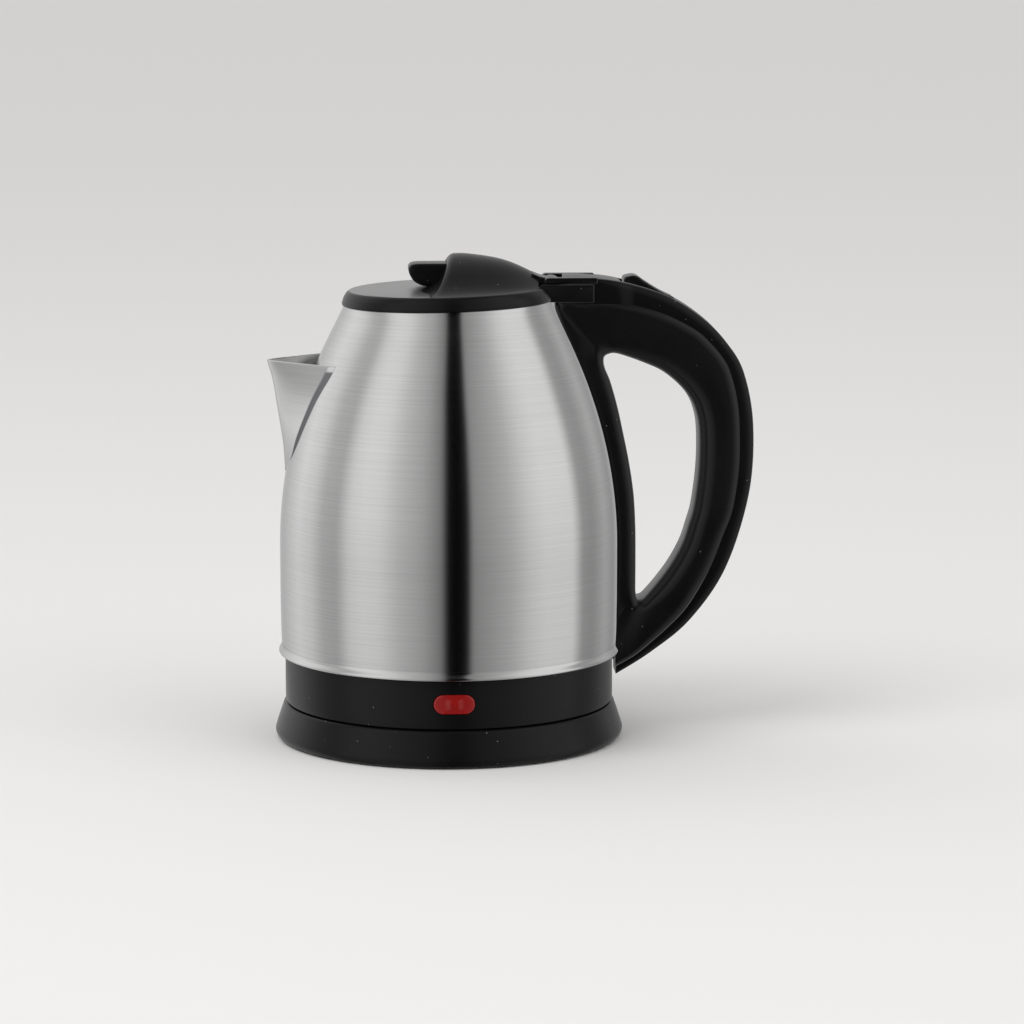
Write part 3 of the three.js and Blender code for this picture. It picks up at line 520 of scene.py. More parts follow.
# %% Plastics
def satin_plastic(name, colour, rubbed, rough, specks=0.05, wave=0.3, specular=0.2):
    """Moulded plastic: grain bump, smudged roughness, dust and paler worn edges."""
    made, tree, shader = finish_of(name, Specular_IOR_Level=specular, IOR=1.5)
    grains = use(tree, grain, Wave_depth=wave)
    worn = use(tree, edge_wear, Amount=0.45)["Mask"]
    specked = use(tree, dust, Amount=specks)["Mask"]
    dusty = tuple(0.16 + 0.5 * c for c in colour[:3]) + (1,)
    base = blend_colour(tree, worn, colour, rubbed)
    tree.links.new(blend_colour(tree, specked, base, dusty), shader.inputs["Base Color"])
    tree.links.new(mapped(tree, grains["Smudge"], 0.3, 0.7, rough - 0.05, rough + 0.07),
                   shader.inputs["Roughness"])
    bump(tree, shader, grains["Height"], 0.10, 0.00005)
    return made


BLACK = satin_plastic("satin_black_plastic", (0.0042, 0.0043, 0.0046, 1),
                      (0.02, 0.02, 0.021, 1), 0.24)
GRIP_BLACK = satin_plastic("grip_black_plastic", (0.0046, 0.0046, 0.005, 1),
                           (0.022, 0.022, 0.023, 1), 0.25, specular=0.32)
WHITE = satin_plastic("off_white_plastic", (0.58, 0.55, 0.47, 1), (0.66, 0.64, 0.58, 1), 0.42,
                      specks=0.0)
RUBBER = satin_plastic("matt_rubber", (0.018, 0.018, 0.018, 1), (0.05, 0.05, 0.05, 1), 0.72,
                       specks=0.03, wave=0.8, specular=0.3)
print("plastics", BLACK.name, GRIP_BLACK.name, WHITE.name, RUBBER.name)


# %% [markdown]
# The steel is brushed round the axis. Each brush line is a tiny groove, so a reflection is
# smeared up and down across the lines. The shader's anisotropy does that smear, along the
# tangent of the piece's own UV map, and the lines themselves are a squeezed noise.


# %% Metals
# Painted shade: a dark steel colour for the groove beside the spout's weld, where shade falls.
GROOVE_SHADE_STEEL = (0.20, 0.20, 0.21, 1)


def brushed_metal(name, colour, rough, anisotropy, depth, density=3200.0, tangent="around",
                  weld=None):
    """Brushed sheet metal: line noise in colour, roughness and bump, with a UV tangent. Where
    the weld attribute is 1, the colour is painted dark as shade in the groove and the steel is dull."""
    made, tree, shader = finish_of(name, Metallic=1.0, Anisotropic=anisotropy,
                                   Anisotropic_Rotation=0.25)
    lines = use(tree, brushing, Line_density=density)
    dark = tuple(0.88 * c for c in colour[:3]) + (1,)
    base = blend_colour(tree, mapped(tree, lines["Lines"], 0.3, 0.7, 0.0, 1.0), dark, colour)
    uneven = maths(tree, "ADD", maths(tree, "MULTIPLY", lines["Lines"], 0.06),
                   maths(tree, "MULTIPLY", lines["Clouds"], 0.03))
    # Painted shade: near the weld the colour is darkened to stand for the shade in the groove; the
    # rise in roughness is real.
    if weld:
        painted_groove_shade = node(tree, "ShaderNodeAttribute", attribute_name=weld).outputs["Fac"]
        base = blend_colour(tree, painted_groove_shade, base, GROOVE_SHADE_STEEL)
        uneven = maths(tree, "ADD", uneven, maths(tree, "MULTIPLY", painted_groove_shade, 0.2))
    tree.links.new(base, shader.inputs["Base Color"])
    tree.links.new(maths(tree, "ADD", uneven, rough - 0.045), shader.inputs["Roughness"])
    bump(tree, shader, lines["Lines"], depth, 0.00002)
    if tangent:
        along = node(tree, "ShaderNodeTangent", direction_type="UV_MAP", uv_map=tangent)
        tree.links.new(along.outputs[0], shader.inputs["Tangent"])
    return made


STEEL = brushed_metal("brushed_steel", (0.67, 0.67, 0.665, 1), 0.18, 0.88, 0.16)
INLAY_STEEL = brushed_metal("lid_steel", (0.40, 0.40, 0.395, 1), 0.34, 0.4, 0.3)
# The spout's steel carries painted shade in the groove along each weld.
SPOUT_STEEL = brushed_metal("steel_with_painted_groove_shade", (0.66, 0.66, 0.655, 1), 0.20, 0.8, 0.2, weld="weld")
POLISHED = brushed_metal("drawn_steel", (0.6, 0.6, 0.59, 1), 0.26, 0.0, 0.15, tangent=None)
COPPER = brushed_metal("contact_copper", (0.72, 0.38, 0.2, 1), 0.32, 0.0, 0.2, 900.0, None)
ALUMINIUM = brushed_metal("rolled_aluminium", (0.68, 0.69, 0.7, 1), 0.38, 0.0, 0.3, 1200.0, None)
ZINC = brushed_metal("zinc_plating", (0.5, 0.51, 0.53, 1), 0.36, 0.0, 0.2, 700.0, None)
print("materials so far", len(bpy.data.materials))


# %% [markdown]
# The lamp's lens is translucent red plastic over a clear neon lamp. Light enters it and
# scatters, so it is a deep red with a little transmission and a slight cloudiness.


# %% Lens and glass
RED_LENS, tree, shader = finish_of("red_lens", Transmission_Weight=0.25, IOR=1.49,
                                   Subsurface_Weight=0.35, Subsurface_Scale=0.002)
cloud = use(tree, grain, Wave_depth=0.2)
tree.links.new(blend_colour(tree, cloud["Smudge"], (0.30, 0.006, 0.006, 1), (0.42, 0.014, 0.012, 1)),
               shader.inputs["Base Color"])
tree.links.new(mapped(tree, cloud["Smudge"], 0.3, 0.7, 0.16, 0.24), shader.inputs["Roughness"])
bump(tree, shader, cloud["Height"], 0.05, 0.00005)
NEON_GLASS, tree, shader = finish_of("lamp_glass", Transmission_Weight=0.9, IOR=1.47)
cloud = use(tree, grain)
tree.links.new(blend_colour(tree, cloud["Smudge"], (0.9, 0.78, 0.7, 1), (1, 0.92, 0.86, 1)),
               shader.inputs["Base Color"])
tree.links.new(mapped(tree, cloud["Smudge"], 0.3, 0.7, 0.04, 0.1), shader.inputs["Roughness"])
print("clear finishes", RED_LENS.name, NEON_GLASS.name)

# %% [markdown]
# Parts whose drawn shape is already right keep it and only get their finish. The list follows
# the record's material slots.

# %% Finishes for the carried parts
BY_SLOT = {"black_plastic": BLACK, "brushed_steel": POLISHED, "spring_steel": POLISHED,
           "rubber": RUBBER, "contact_copper": COPPER, "aluminium": ALUMINIUM, "zinc_screw": ZINC,
           "white_plastic": WHITE, "red_lens": RED_LENS, "neon_glass": NEON_GLASS}
for part in frame["record"]["subparts"]:
    for place in frame["nodes"][part["node"]].material_slots:
        place.material = BY_SLOT[part["material_slot"]]

# %% [markdown]
# ## Water body
# The body is one spun steel sheet: a bead at the bottom, a straight wall, and a long shoulder
# drawn in to the lid's opening. It is a profile turned round the axis. The rim leans with the
# lid, so the top of the wall is sheared: its height grows with x.

# %% Body form
SHOULDER = cubic((BODY_RADIUS, SHOULDER_START), (BODY_RADIUS, SHOULDER_START + 60),
                 (OPENING_RADIUS + 3.2, OPENING_TOP - 8.4), (OPENING_RADIUS, OPENING_TOP), 60)


def body_radius(z):
    """Outer radius of the steel at a height: the bead's shallow foot, the wall, the shoulder."""
    heights = np.concatenate([[41, 44, 50], SHOULDER[:, 1]])
    radii = np.concatenate([[76.6, 76.7, 77.0], SHOULDER[:, 0]])
    return np.interp(z, heights, radii)


def shear_top(grid):
    """Lifts each point by x * tan(tilt), eased in between the start of the tilt and the rim."""
    ease = smooth_step(grid[..., 2], TILT_STARTS, OPENING_TOP)
    lifted = grid.copy()
    lifted[..., 2] += ease * math.tan(OPENING_TILT) * grid[..., 0]
    return lifted


def lean(grid):
    """Turns points by the tilt about the centre of the opening."""
    c, s = math.cos(OPENING_TILT), math.sin(OPENING_TILT)
    x, z = grid[..., 0], grid[..., 2] - OPENING_TOP
    return np.stack([x * c - z * s, grid[..., 1], OPENING_TOP + x * s + z * c], -1)


def clear_of_body(grid, gap=0.2):
    """Pushes points out of the body: radius becomes at least the body's radius plus a gap."""
    radius = np.hypot(grid[..., 0], grid[..., 1])
    grow = np.maximum(1, (body_radius(grid[..., 2]) + gap) / np.maximum(radius, 1e-6))
    moved = grid.copy()
    moved[..., 0] *= grow
    moved[..., 1] *= grow
    return moved


print("body radius at mid height", round(float(body_radius(120)), 2))

# %% [markdown]
# The sheet is rolled out into a bead at the bottom and its edge is rolled over at the lid. Where
# the spout stands, a strainer is drilled: four rows of small holes, staggered like a colander.


# %% Body shell
bead = rounded([
    (75.8, BODY_LOW, 0.2), (BEAD_RADIUS - 0.7, BODY_LOW, 0.5),
    (BEAD_RADIUS - 0.3, BODY_LOW + 0.9, 0.5), (BEAD_RADIUS - 0.9, BODY_LOW + 1.9, 0.7),
    (76.8, BODY_LOW + 3.0, 0.9), (76.7, BODY_LOW + 4.4, 0.6)], 3)
side = np.vstack([[76.75, 46], [76.9, 52], [77.05, 62], [77.1, 74], SHOULDER])
inner = side[::-1] - [BODY_WALL, 0]
lip = [[OPENING_RADIUS - 0.1, OPENING_TOP + 0.25], [OPENING_RADIUS - 0.4, OPENING_TOP + 0.35],
       [OPENING_RADIUS - 0.7, OPENING_TOP + 0.2]]
profile = np.vstack([bead, side, lip, inner, [[76.0, 43.4], [75.8, 41]]])
body = turned("steel_body", profile, 224, bend=shear_top)
STRAINER_ROWS = [(136, 3), (144, 4), (152, 3), (160, 4)]
HOLE_RADIUS, HOLE_PITCH = 2.2, 7.5


def rod(radius, start, end):
    """Closed straight rod between two points, for use as a cutter."""
    start, end = np.array(start, float), np.array(end, float)
    axis = (end - start) / np.linalg.norm(end - start)
    across = np.cross(axis, [0, 0, 1] if abs(axis[2]) < 0.9 else [0, 1, 0])
    across /= np.linalg.norm(across)
    up = np.cross(axis, across)
    a = np.linspace(0, 2 * np.pi, 24, endpoint=False)[:, None]
    circle = radius * (np.cos(a) * across + np.sin(a) * up)
    return surface("cutter", np.stack([start + circle, end + circle]), caps=True)


def drill(piece, cutters):
    """Cuts closed cutters out of a piece, and throws the cutters away."""
    with bpy.context.temp_override(active_object=piece, object=piece, selected_objects=[piece]):
        for cutter in cutters:
            modifier = piece.modifiers.new("drill", "BOOLEAN")
            modifier.object, modifier.operation, modifier.solver = cutter, "DIFFERENCE", "EXACT"
            bpy.ops.object.modifier_apply(modifier=modifier.name)
    mark_sharp(piece.data)
    for cutter in cutters:
        made_pieces.remove(cutter)
        bpy.data.objects.remove(cutter)


holes = [rod(HOLE_RADIUS, (-60, y, z), (-80, y, z)) for z, count in STRAINER_ROWS
         for y in (np.arange(count) - (count - 1) / 2) * HOLE_PITCH]
drill(body, holes)
wear(body, STEEL, "kettle", "body_shell", slot="brushed_steel")
print("body faces", len(body.data.polygons))

# %% [markdown]
# The spout is a pressed beak with a V-shaped section and a rounded nose. The surface runs over
# two parameters: height, and the way round the V from one weld to the other. Next to each weld
# the sheet bends into a small step, and painted shade darkens the steel in that groove. The
# painted shade is an attribute of the mesh. The wall is the same sheet offset inwards, joined
# over a rounded rim.

# %% Spout
NOSE = spline([(118, 74.9), (123.5, 74.6), (130, 74.9), (137.9, 75.6), (152.7, 77.9), (165, 79.9),
               (170.5, 81.5), (SPOUT_TOP, SPOUT_TIP)], 200)
WELD_LINE = spline([(123, 0.4), (125, 4), (128, 8), (132, 12.8), (142, 17.2), (151, 21.0),
                    (159, 24.3), (168, 29), (SPOUT_TOP, 31)], 200)


def beak(heights, inset):
    """Section at each height: the weld stands at an angle read from the weld line, and the way
    from weld to nose is a short step off the body, a straight side and a rounded nose."""
    angle = np.radians(np.interp(heights, WELD_LINE[:, 0], WELD_LINE[:, 1]))[:, None]
    radius = body_radius(heights)[:, None] - 0.3 - inset
    nose = np.interp(heights, NOSE[:, 0], NOSE[:, 1])[:, None] - inset
    foot_x, foot_y = radius * np.cos(angle), radius * np.sin(angle)
    across = np.sin(np.linspace(-np.pi / 2, np.pi / 2, 97))[None, :]
    away = np.abs(across)
    point = (1 - np.sqrt(0.016 + 0.984 * away**2)) / (1 - math.sqrt(0.016))
    proud = 1.1 * smooth_step(nose - foot_x, 0.5, 9)
    step = proud * (1 - point) * (1 - smooth_step(away, 0.92, 0.99))
    x = foot_x + (nose - foot_x) * point + step
    return np.stack([-x, foot_y * across, heights[:, None] + 0 * x], -1)


heights = np.concatenate([np.linspace(123, 166, 44), np.linspace(166.4, SPOUT_TOP, 24)])
SPOUT_WALL = 1.2
outside, inside = beak(heights, 0), beak(heights, SPOUT_WALL)
outside_lip, inside_lip = beak(heights[-1:], 0.35), beak(heights[-1:], 0.85)
shell = np.concatenate([outside, inside[:, ::-1]], 1)
lip = np.concatenate([outside_lip, inside_lip[:, ::-1]], 1) + [0, 0, 0.3]
spout = surface("pressed_spout", np.concatenate([shell, lip]), caps=True)
wear(spout, SPOUT_STEEL, "kettle", "spout", slot="brushed_steel")
points = np.array([vertex.co[:] for vertex in spout.data.vertices]) / MM
weld_angle = np.radians(np.interp(points[:, 2], WELD_LINE[:, 0], WELD_LINE[:, 1]))
share = np.abs(points[:, 1]) / (body_radius(points[:, 2]) * np.sin(weld_angle))
# Painted shade: steel next to each weld, fading out near the top, is marked to be painted dark as the
# groove's shade.
groove_shade_amount = smooth_step(share, 0.89, 0.93) * (1 - smooth_step(points[:, 2], 170.6, 171.8))
weld = spout.data.attributes.new("weld", "FLOAT", "POINT")
weld.data.foreach_set("value", groove_shade_amount.astype(np.float32))
print("spout tip", round(float(-outside[..., 0].min()), 2))

# %% [markdown]
# ## Skirt and power base
# Skirt and base are plain turned mouldings. Each wall is a closed profile with small fillets,
# so the edges catch the light. The lens stands in a pocket of the skirt's wall.

# %% Skirt
SKIRT_WALL, LEDGE_WIDTH, LEDGE_THICK = 2.4, 9, 2
skirt_profile = rounded([
    (SKIRT_RADIUS - SKIRT_WALL, SKIRT_LOW), (SKIRT_RADIUS - 0.1, SKIRT_LOW, 0.8),
    (SKIRT_RADIUS, SKIRT_LOW + 3, 0.5), (SKIRT_RADIUS, SKIRT_TOP, 0.6),
    (SKIRT_RADIUS - LEDGE_WIDTH, SKIRT_TOP, 0.6),
    (SKIRT_RADIUS - LEDGE_WIDTH, SKIRT_TOP - LEDGE_THICK),
    (SKIRT_RADIUS - SKIRT_WALL, SKIRT_TOP - LEDGE_THICK, 1)], 4)
skirt = turned("skirt", skirt_profile, 224)
LENS_Z = (corner("lamp_lens", False, 2) + corner("lamp_lens", True, 2)) / 2 + 0.6
LENS_HALF, LENS_HEIGHT, LENS_GAP = 9.2, 4.35, 0.35


def stadium(half_length, half_height):
    """Outline of a slot with round ends, from -x to x, as a closed line."""
    a = np.linspace(0, 2 * np.pi, 72, endpoint=False)
    x = half_height * np.cos(a) + np.sign(np.cos(a)) * (half_length - half_height)
    return np.stack([x, half_height * np.sin(a)], -1)


pocket_line = stadium(LENS_HALF + LENS_GAP, LENS_HEIGHT + LENS_GAP) + [0, LENS_Z]
pocket = slab("pocket", pocket_line, -SKIRT_RADIUS - 4, -SKIRT_RADIUS + 6, 0.1)
drill(skirt, [pocket])
wear(skirt, BLACK, "kettle", "lower_skirt")
print("skirt radius", round(SKIRT_RADIUS, 2))

# %% [markdown]
# The lens is a slot-shaped window. Rings of its outline shrink to the middle, and each ring is
# set out from the skirt's round wall. The middle swells a little, and the last rings drop
# back to make the rounded edge and the side.

# %% Lamp lens
rings = np.concatenate([[0.0001], np.linspace(0.1, 0.9, 22), [0.94, 0.97, 0.99, 1.0, 1.0, 1.0]])
line = stadium(LENS_HALF, LENS_HEIGHT)
flat = line[None] * rings[:, None, None]
swell = 0.45 * (1 - smooth_step(np.hypot(flat[..., 0], flat[..., 1]), 1.6, 4.3))
edge_drop = np.concatenate([np.zeros(23), [0.05, 0.15, 0.3, 0.55, 1.0, 3.2]])[:, None]
depth = np.sqrt(SKIRT_RADIUS**2 - flat[..., 0] ** 2) + 0.35 + swell - edge_drop
grid = np.stack([flat[..., 0], -depth, flat[..., 1] + LENS_Z], -1)
lens = surface("lamp_window", grid, caps=True)
wear(lens, RED_LENS, "kettle", "lamp_lens", slot="red_lens")
print("lens width", 2 * LENS_HALF)

# %% [markdown]
# The power base is a shallow dish: it flares out to a round foot, and its deck has a raised
# centre for the connector. The bottom plate closes it from below and carries four rubber feet.

# %% Power base
base_profile = rounded([
    (BASE_RADIUS - 1.2, 0.9, 0.4), (BASE_RADIUS, 3.4, 1.6), (BASE_RADIUS - 1.6, 8.5, 4),
    (BASE_RADIUS - 3.3, 13.5, 3), (BASE_RADIUS - 4.4, 16.8, 1.3), (BASE_RADIUS - 8.5, 16.8, 1.4),
    (BASE_RADIUS - 11, 14.8, 1.4), (30, 14.8, 1.2), (27, 16.8, 1), (20.6, 16.8, 0.7), (20.6, 12.4),
    (BASE_RADIUS - 9, 12.4, 1), (BASE_RADIUS - 4.4, 8.5, 2), (BASE_RADIUS - 3.6, 0.9)], 5)
power_base = turned("power_base_shell", base_profile, 224)
wear(power_base, BLACK, "power_base", "base_upper_shell")
for number in range(1, 5):
    low, high = (np.array(side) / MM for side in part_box(f"foot_{number}"))
    middle, radius = (low + high) / 2, (high[0] - low[0]) / 2
    foot_line = rounded([(0, low[2]), (radius - 0.6, low[2], 0.8), (radius, low[2] + 1.4, 0.6),
                         (radius, high[2], 0.4), (0, high[2])], 4)
    foot = turned(f"rubber_foot_{number}", foot_line, 40, place=(middle[0], middle[1], 0))
    wear(foot, RUBBER, "power_base", f"foot_{number}", slot="rubber")
print("base pieces", 5)

# %% [markdown]
# ## Handle
# The handle is one hollow grip, closed at the back by a cover. The grip's ring runs down the
# body as a thin column and comes back as the hand grip, so it is a section carried round the
# hand opening. The first list has the points on the opening's side and the second has the
# points across from them; the section between two of them is a rounded box.

# %% Handle grip
COLUMN = [(73.4, 163.8), (76.6, 152.6), (79.2, 140.9), (82.1, 126.7), (84.2, 112.5),
          (85.1, 98.3), (85.3, 84.1)]
OPENING_LINE = COLUMN + [
    (85.3, 72), (85.4, 66.5), (86.3, 63.5), (88, 63.4), (90, 64.9), (95.9, 71.9), (101.5, 79.8),
    (106.4, 89), (109.2, 97.5), (111.7, 106.8), (113.8, 125), (113.7, 142.2), (111.8, 151.3),
    (109.2, 156.6), (105.7, 161.1), (101.1, 165.4), (96, 169), (89.5, 171.9), (81.8, 174.8),
    (75.5, 176.6), (71.8, 175.9), (70.4, 174), (70.9, 170)]
FAR_LINE = [(float(body_radius(z)) - 3, z) for x, z in COLUMN] + [
    (74, 66), (74, 50), (73, 33), (80, 34.5), (90, 41.5), (106, 56.5), (114.5, 69), (120.5, 80.5),
    (126.2, 95), (130, 106), (132.6, 125), (132.7, 142.9), (131.6, 155), (128.9, 166.4),
    (125.5, 174), (119, 182), (111.4, 188.5), (96, 196), (78, 200.3), (62, 200.6), (49, 200.6),
    (49.5, 192), (55, 178)]
STATIONS = 240


def box_section(inner, outer, half, inner_round, outer_round):
    """Rounded box at each station: its width runs along Y and its depth from the inner to the
    outer point. Each corner is a quarter circle, and u goes once round."""
    depth = np.linalg.norm(outer - inner, axis=1)
    axis = (outer - inner) / depth[:, None]
    a = np.linspace(0, np.pi / 2, 7)[None, :]
    fit = np.minimum(depth * 0.48, half * 0.98)
    r_in, r_out = np.minimum(inner_round, fit)[:, None], np.minimum(outer_round, fit)[:, None]
    h, d = half[:, None], depth[:, None]
    y = [h - r_out + r_out * np.sin(a), h - r_in + r_in * np.cos(a),
         -(h - r_in + r_in * np.cos(a[:, ::-1])), -(h - r_out + r_out * np.sin(a[:, ::-1]))]
    t = [d - r_out + r_out * np.cos(a), r_in - r_in * np.sin(a), r_in - r_in * np.sin(a[:, ::-1]),
         d - r_out + r_out * np.cos(a[:, ::-1])]
    y, t = np.concatenate(y, 1), np.concatenate(t, 1)
    middle = inner[:, None, :] + t[..., None] * axis[:, None, :]
    return np.stack([middle[..., 0], y, middle[..., 1]], -1)


inner_line = spline(OPENING_LINE, STATIONS, closed=True)
outer_line = spline(FAR_LINE, STATIONS, closed=True)
stage_of = np.linspace(0, len(OPENING_LINE), STATIONS, endpoint=False)
on_column = 1 - smooth_step(stage_of, 6.5, 13) + smooth_step(stage_of, 27, 29.6)
half = 14 - 2.6 * on_column
grip_grid = box_section(inner_line, outer_line, half, 7.5 - 3.5 * on_column, 4.2 + 0 * half)
grip = surface("hand_grip", clear_of_body(grip_grid), wrap_rows=True)
wear(grip, GRIP_BLACK, "kettle", "handle_shell")
print("grip faces", len(grip.data.polygons))

# %% [markdown]
# The back cover is a long shell along the outside of the grip. It starts as the flat top of
# the handle's head, passes under the switch, and ends at the skirt. A trench in its top makes
# room for the switch rocker.

# %% Back cover
SEAM_LINE = [(59.8, 199.3), (78, 199), (95, 194.6), (110.4, 187.3), (121, 178), (127.4, 166),
             (131, 142.9), (130, 113), (119.2, 81.3), (105, 57.6), (89.4, 42.6), (76.4, 32)]
COVER_LINE = [(60, 211.5), (77, 209.6), (98.5, 203), (115, 192.8), (126.5, 181), (134.3, 167.3),
              (138.7, 143.5), (137, 112), (126.5, 77.5), (110.5, 53.5), (92.5, 38.5), (76.4, 28.5)]
HEAD_START = 52.3
seam = np.vstack([[[HEAD_START, 200.4]], spline(SEAM_LINE, 170)])
back = np.vstack([[[HEAD_START, 211.5]], spline(COVER_LINE, 170)])
dense = np.linspace(0, 1, 24)[:, None]
seam = np.vstack([seam[0] + (seam[1] - seam[0]) * dense[:-1], seam[1:]])
back = np.vstack([back[0] + (back[1] - back[0]) * dense[:-1], back[1:]])
upper_part = back[:, 1] > 150
half = 13.2 - np.where(upper_part, 1.2 * smooth_step(back[:, 0], 76, 84), 1.2)
half = half - 3.0 * smooth_step(-back[:, 1], -90, -30)
back_fillet = 3.6 - 1.6 * smooth_step(-back[:, 0], -80, -66) * upper_part
cover_grid = box_section(seam, back, half, 0.5 + 0 * half, back_fillet)
cover = surface("back_cover", clear_of_body(cover_grid), caps=True)
TRENCH = [(77.8, 216), (77.8, 205.2), (87.3, 203.1), (88.1, 199.4), (94.6, 199.4), (102.8, 198.2),
          (103.8, 204), (103.8, 216)]
ROCKER_HALF, ROCKER_GAP = 7.2, 0.4
trench_half = ROCKER_HALF + ROCKER_GAP
trench_line = rounded([(*p, 0.5) for p in TRENCH], 2)
drill(cover, [slab("trench", trench_line, -trench_half, trench_half, 0.2)])
wear(cover, BLACK, "kettle", "handle_back_cover")
print("trench width", 2 * trench_half)

# %% [markdown]
# Two cheeks reach forward from the head and hold the lid's hinge pin. Each is a plate with a
# round nose about the pin, a raised pad on its outside and a thin lip over the pad. The dark
# handle is kept out of reflections, so the soft box runs on to the edge of the steel.

# %% Hinge cheeks
CHEEK_INSIDE, CHEEK_OUTSIDE, PAD_OUTSIDE, LIP_OUTSIDE = 8.5, 13.3, 14, 14.3
nose_angle = np.linspace(math.pi / 2, 3 * math.pi / 2, 22)
nose = np.stack([HINGE_X + 5 * np.cos(nose_angle), HINGE_Z + 5 * np.sin(nose_angle)], -1)
cheek_line = np.vstack([nose, [[HEAD_START + 0.6, 201.2], [HEAD_START + 0.6, 211.4]]])
pad_line = rounded([(40.9, 208.4, 1.2), (40.7, 200.6, 1.6), (65.5, 200.2, 0.8),
                    (65.5, 208.4, 0.8)], 4)
lip_line = rounded([(42.6, 208.8, 0.3), (67, 208.8, 0.3), (67, 211.5, 0.8), (43.6, 211.5, 2)], 4)
INSIDE_HANDLE = ["steam_tube", "steam_bimetal", "steam_switch", "wire_loom", "handle_screw_1",
                 "handle_screw_2", "rocker_pin", "hinge_pin", "lid_spring"]
for shown in [grip, cover] + [frame["nodes"][name] for name in INSIDE_HANDLE]:
    shown.visible_glossy = False
PLATES = [("cheek", cheek_line, CHEEK_INSIDE, CHEEK_OUTSIDE, 0.7, BLACK),
          ("pad", pad_line, CHEEK_OUTSIDE - 0.7, PAD_OUTSIDE, 0.5, GRIP_BLACK),
          ("lip", lip_line, CHEEK_INSIDE, LIP_OUTSIDE, 0.6, BLACK)]
for side, name in ((-1, "near"), (1, "far")):
    for kind, line, inside, outside, fillet, finish in PLATES:
        plate = slab(f"hinge_{kind}_{name}", line, *sorted((side * inside, side * outside)), fillet)
        wear(plate, finish, "kettle")
        plate.visible_glossy = False
print("cheeks at y", CHEEK_INSIDE, "to", LIP_OUTSIDE)

# %% [markdown]
# The rocker is the on switch. It is a thin moulded paddle with a raised front edge for the
# thumb, and it tips about its pin inside the trench.

# %% Switch rocker
ROCKER_TOP = [(79.3, 209.4), (79.9, 210.9), (81.6, 211.5), (83.8, 211.8), (86, 211.2),
              (89.4, 208.8), (96, 204.7), (101.8, 201.9)]
ROCKER_UNDER = [(102.4, 201.2), (102.2, 200.0), (94.6, 202.2), (93.6, 200.8), (88.6, 200.8),
                (87.4, 205.6), (79.6, 207.4)]
rocker_line = np.vstack([spline(ROCKER_TOP, 40), rounded([(*p, 0.4) for p in ROCKER_UNDER], 2)])
rocker = slab("rocker_paddle", rocker_line, -ROCKER_HALF, ROCKER_HALF, 0.9)
wear(rocker, BLACK, "rocker", "switch_rocker")
rocker.visible_glossy = False
print("rocker width", 2 * ROCKER_HALF)

# %% [markdown]
# ## Lid
# Seen from the side, the lid's top is one flowing line from the hump behind the tab down to
# the hinge. Across the lid the same line sinks to the rim as a bell. So the crown is a
# function of two parameters: x along the lid, and s across it, and it carries on over the rim
# and down its wall. The hump's foot flares forward as it nears the rim. Only the front segment
# shows a steel inlay.

# %% Lid crown
CROWN_LINE = spline([(-14.5, 206.2), (-12, 206.9), (-9, 207.8), (-6, 209.1), (-3.6, 211.2),
                     (-1.9, 214), (-0.9, 217), (-0.1, 219.7), (1.5, 221.3), (3.6, 221.75),
                     (10, 221.5), (21.8, 219.7), (30.6, 216.9), (41.4, 211.7)], 400)
RIM_TOP, RIM_RADIUS, FOOT_FLARE = 205.6, 44.9, 9
slope = math.tan(OPENING_TILT)
x = np.concatenate([np.linspace(-14.4, 2, 56), np.linspace(2.7, 41.4, 52)])[:, None]
s = np.linspace(-1, 1, 97)[None, :]
reach = np.sqrt(RIM_RADIUS**2 - x**2)
rim_height = RIM_TOP + slope * x
flare = FOOT_FLARE * s**2 * (1 - smooth_step(x, 0, 24))
top = np.interp(x + flare, CROWN_LINE[:, 0], CROWN_LINE[:, 1])
bell = (1 - s**2) ** 2
crown_z = np.minimum(top, rim_height) + np.maximum(top - rim_height, 0) * bell
crown = np.stack([x + 0 * s, reach * s, crown_z], -1)
wall = np.array([(0.35, -0.25), (1.0, -1.1), (1.9, -2.6), (2.9, -4.6), (3.15, -5.4)])


def over_rim(edge_grid):
    """Carries the crown's edge outward and down, following the rim's rounded shoulder."""
    radius = np.hypot(edge_grid[:, :1], edge_grid[:, 1:2])
    out = edge_grid[:, :2] / radius
    xy = edge_grid[:, None, :2] + out[:, None, :] * wall[None, :, :1]
    z = (rim_height + 0 * radius)[:, None, :] + wall[None, :, 1:]
    return np.concatenate([xy, np.minimum(z, edge_grid[:, None, 2:])], -1)


left, right = over_rim(crown[:, 0])[:, ::-1], over_rim(crown[:, -1])
upper = np.concatenate([left, crown, right], 1)
right_edge, left_edge = upper[:, -1:], upper[:, :1]
under = right_edge + (left_edge - right_edge) * np.linspace(0, 1, 30)[None, :, None]
under[..., 2] = np.minimum(under[..., 2], OPENING_TOP + 0.9 + slope * x)
lid_top = surface("lid_crown", np.concatenate([upper, under], 1), caps=True)
TAB_HALF, TAB_GAP = 8.5, 0.4
mouth_half = TAB_HALF + TAB_GAP
mouth_line = rounded([(-16, 205.4, 0.5), (7, 205.4, 1), (7, 218.2, 1), (-16, 218.2, 0.5)], 3)
mouth = slab("mouth", mouth_line, -mouth_half, mouth_half, 0.5)
ROOM_RADIUS = 6.9
room_half = LIP_OUTSIDE + 0.4
room_angle = np.radians(np.linspace(95, 184, 30))
room_line = np.stack([HINGE_X + ROOM_RADIUS * np.cos(room_angle),
                      HINGE_Z + ROOM_RADIUS * np.sin(room_angle)], -1)
room_line = np.vstack([room_line, [[HINGE_X - ROOM_RADIUS, 186], [60, 186], [60, 225]]])
hinge_room = slab("hinge_room", room_line, -room_half, room_half, 0.2)
drill(lid_top, [mouth, hinge_room])
wear(lid_top, BLACK, "lid", "lid_shell")
print("crown height", round(float(crown_z.max()), 2))

# %% [markdown]
# The lid's rim is a turned ring that leans with the opening. The inlay is thin steel sheet in
# front of the hump. Its surface runs from a straight back edge to the round front, over two
# parameters, and it is slightly domed. Both keep clear of the hinge.

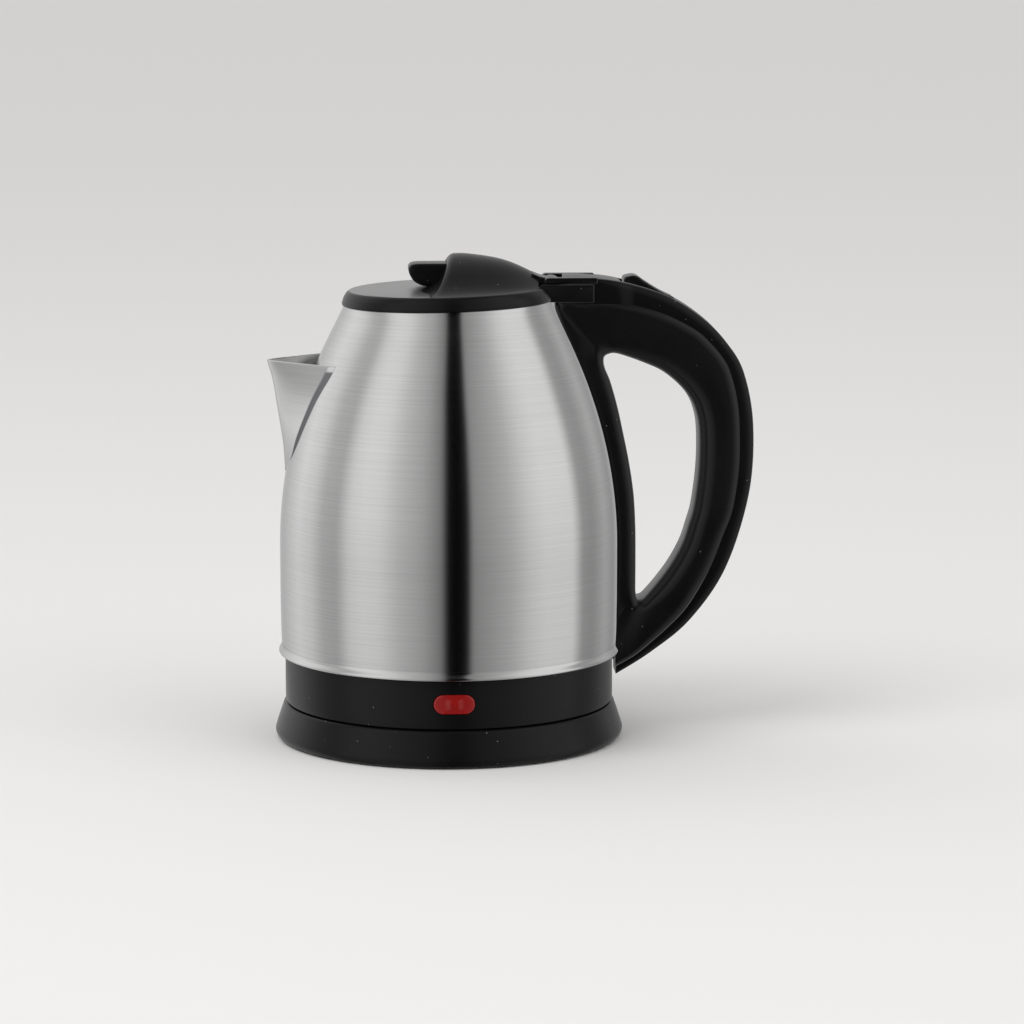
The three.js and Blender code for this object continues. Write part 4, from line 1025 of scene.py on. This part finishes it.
# %% Lid rim and inlay
rim_line = rounded([(43.7, 203.2), (43.7, 205.3, 0.3), (44.5, 206.1, 0.5), (45.9, 205.5, 0.8),
                    (47.3, 203.4, 0.6), (48.25, 200.7, 0.5), (48.05, 199.75, 0.3), (42, 199.75),
                    (42, 202), (43, 203.2)], 4)
rim = turned("lid_rim", rim_line, 200, bend=lean)
drill(rim, [slab("wall_room", room_line, -room_half, room_half, 0.1)])
wear(rim, BLACK, "lid")
along = np.linspace(0, 1, 40)[:, None]
across = np.linspace(-1, 1, 60)[None, :]
INLAY_RADIUS, INLAY_BACK, INLAY_THICK = 44.7, -9.2, 0.7
edge_angle = math.acos(-INLAY_BACK / INLAY_RADIUS)
phi = math.pi - across * edge_angle
front_x, front_y = INLAY_RADIUS * np.cos(phi), INLAY_RADIUS * np.sin(phi)
plate_x = INLAY_BACK + (front_x - INLAY_BACK) * along
plate_y = front_y + 0 * along
plate_z = 207.1 - 0.9 * (np.hypot(plate_x, plate_y) / INLAY_RADIUS) ** 2
sheet = lean(np.stack([plate_x, plate_y, plate_z], -1))
both_sides = np.concatenate([sheet, (sheet - [0, 0, INLAY_THICK])[::-1]])
inlay = surface("lid_inlay_plate", both_sides, wrap_rows=True, wrap_columns=False)
wear(inlay, INLAY_STEEL, "lid", "lid_inlay", slot="brushed_steel")
print("inlay from x", -INLAY_RADIUS, "to", INLAY_BACK)

# %% [markdown]
# The tab is drawn back to free the latch, so it rides on the latch and slides into the mouth.
# Under the lid a plastic cup carries the latch and keeps steam away from the handle.

# %% Tab, knuckle and inner cover
tab_nose = spline([(-3, 207), (-8.4, 207.4), (-12.4, 208), (-15.6, 209.8), (-17.6, 213), (-18, 215.4),
                   (-17, 217), (-14.5, 217.6), (-9, 217.7), (-3, 217.7)], 80)
tab_line = np.vstack([tab_nose, [[1.7, 217.7], [2, 217.4], [2, 207.3], [1.7, 207]]])
tab = slab("release_tab", tab_line, -TAB_HALF, TAB_HALF, 1.3)
wear(tab, BLACK, "latch", "lid_release_tab")
KNUCKLE_RADIUS = 4.8
bend_angle = np.linspace(-2.0, 2.0, 26)
knuckle_nose = np.stack([HINGE_X + KNUCKLE_RADIUS * np.cos(bend_angle),
                         HINGE_Z + KNUCKLE_RADIUS * np.sin(bend_angle)], -1)
knuckle_line = np.vstack([[(38, 204.4), (41, 203)], knuckle_nose, [(41.5, 211.6), (38, 213)]])
knuckle = slab("lid_knuckle", knuckle_line, -8.2, 8.2, 0.6)
wear(knuckle, BLACK, "lid")
cup_line = rounded([(0, 189.6), (42.6, 189.6, 0.8), (43.7, 190.7, 0.8), (45, 198.2, 0.6),
                    (41.7, 199.4, 0.4), (41.6, 201), (40.2, 201), (41.8, 191.2, 0.5), (0, 191.2)], 4)
cup = turned("lid_cup", cup_line, 160, bend=lean)
drill(cup, [slab("cup_room", room_line, -room_half, room_half, 0.1)])
wear(cup, BLACK, "lid", "lid_inner_cover")
print("lid pieces", 6)

# %% Finish
for piece in made_pieces:
    print(f"{piece.name:20s} faces {len(piece.data.polygons):6d}")
low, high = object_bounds()
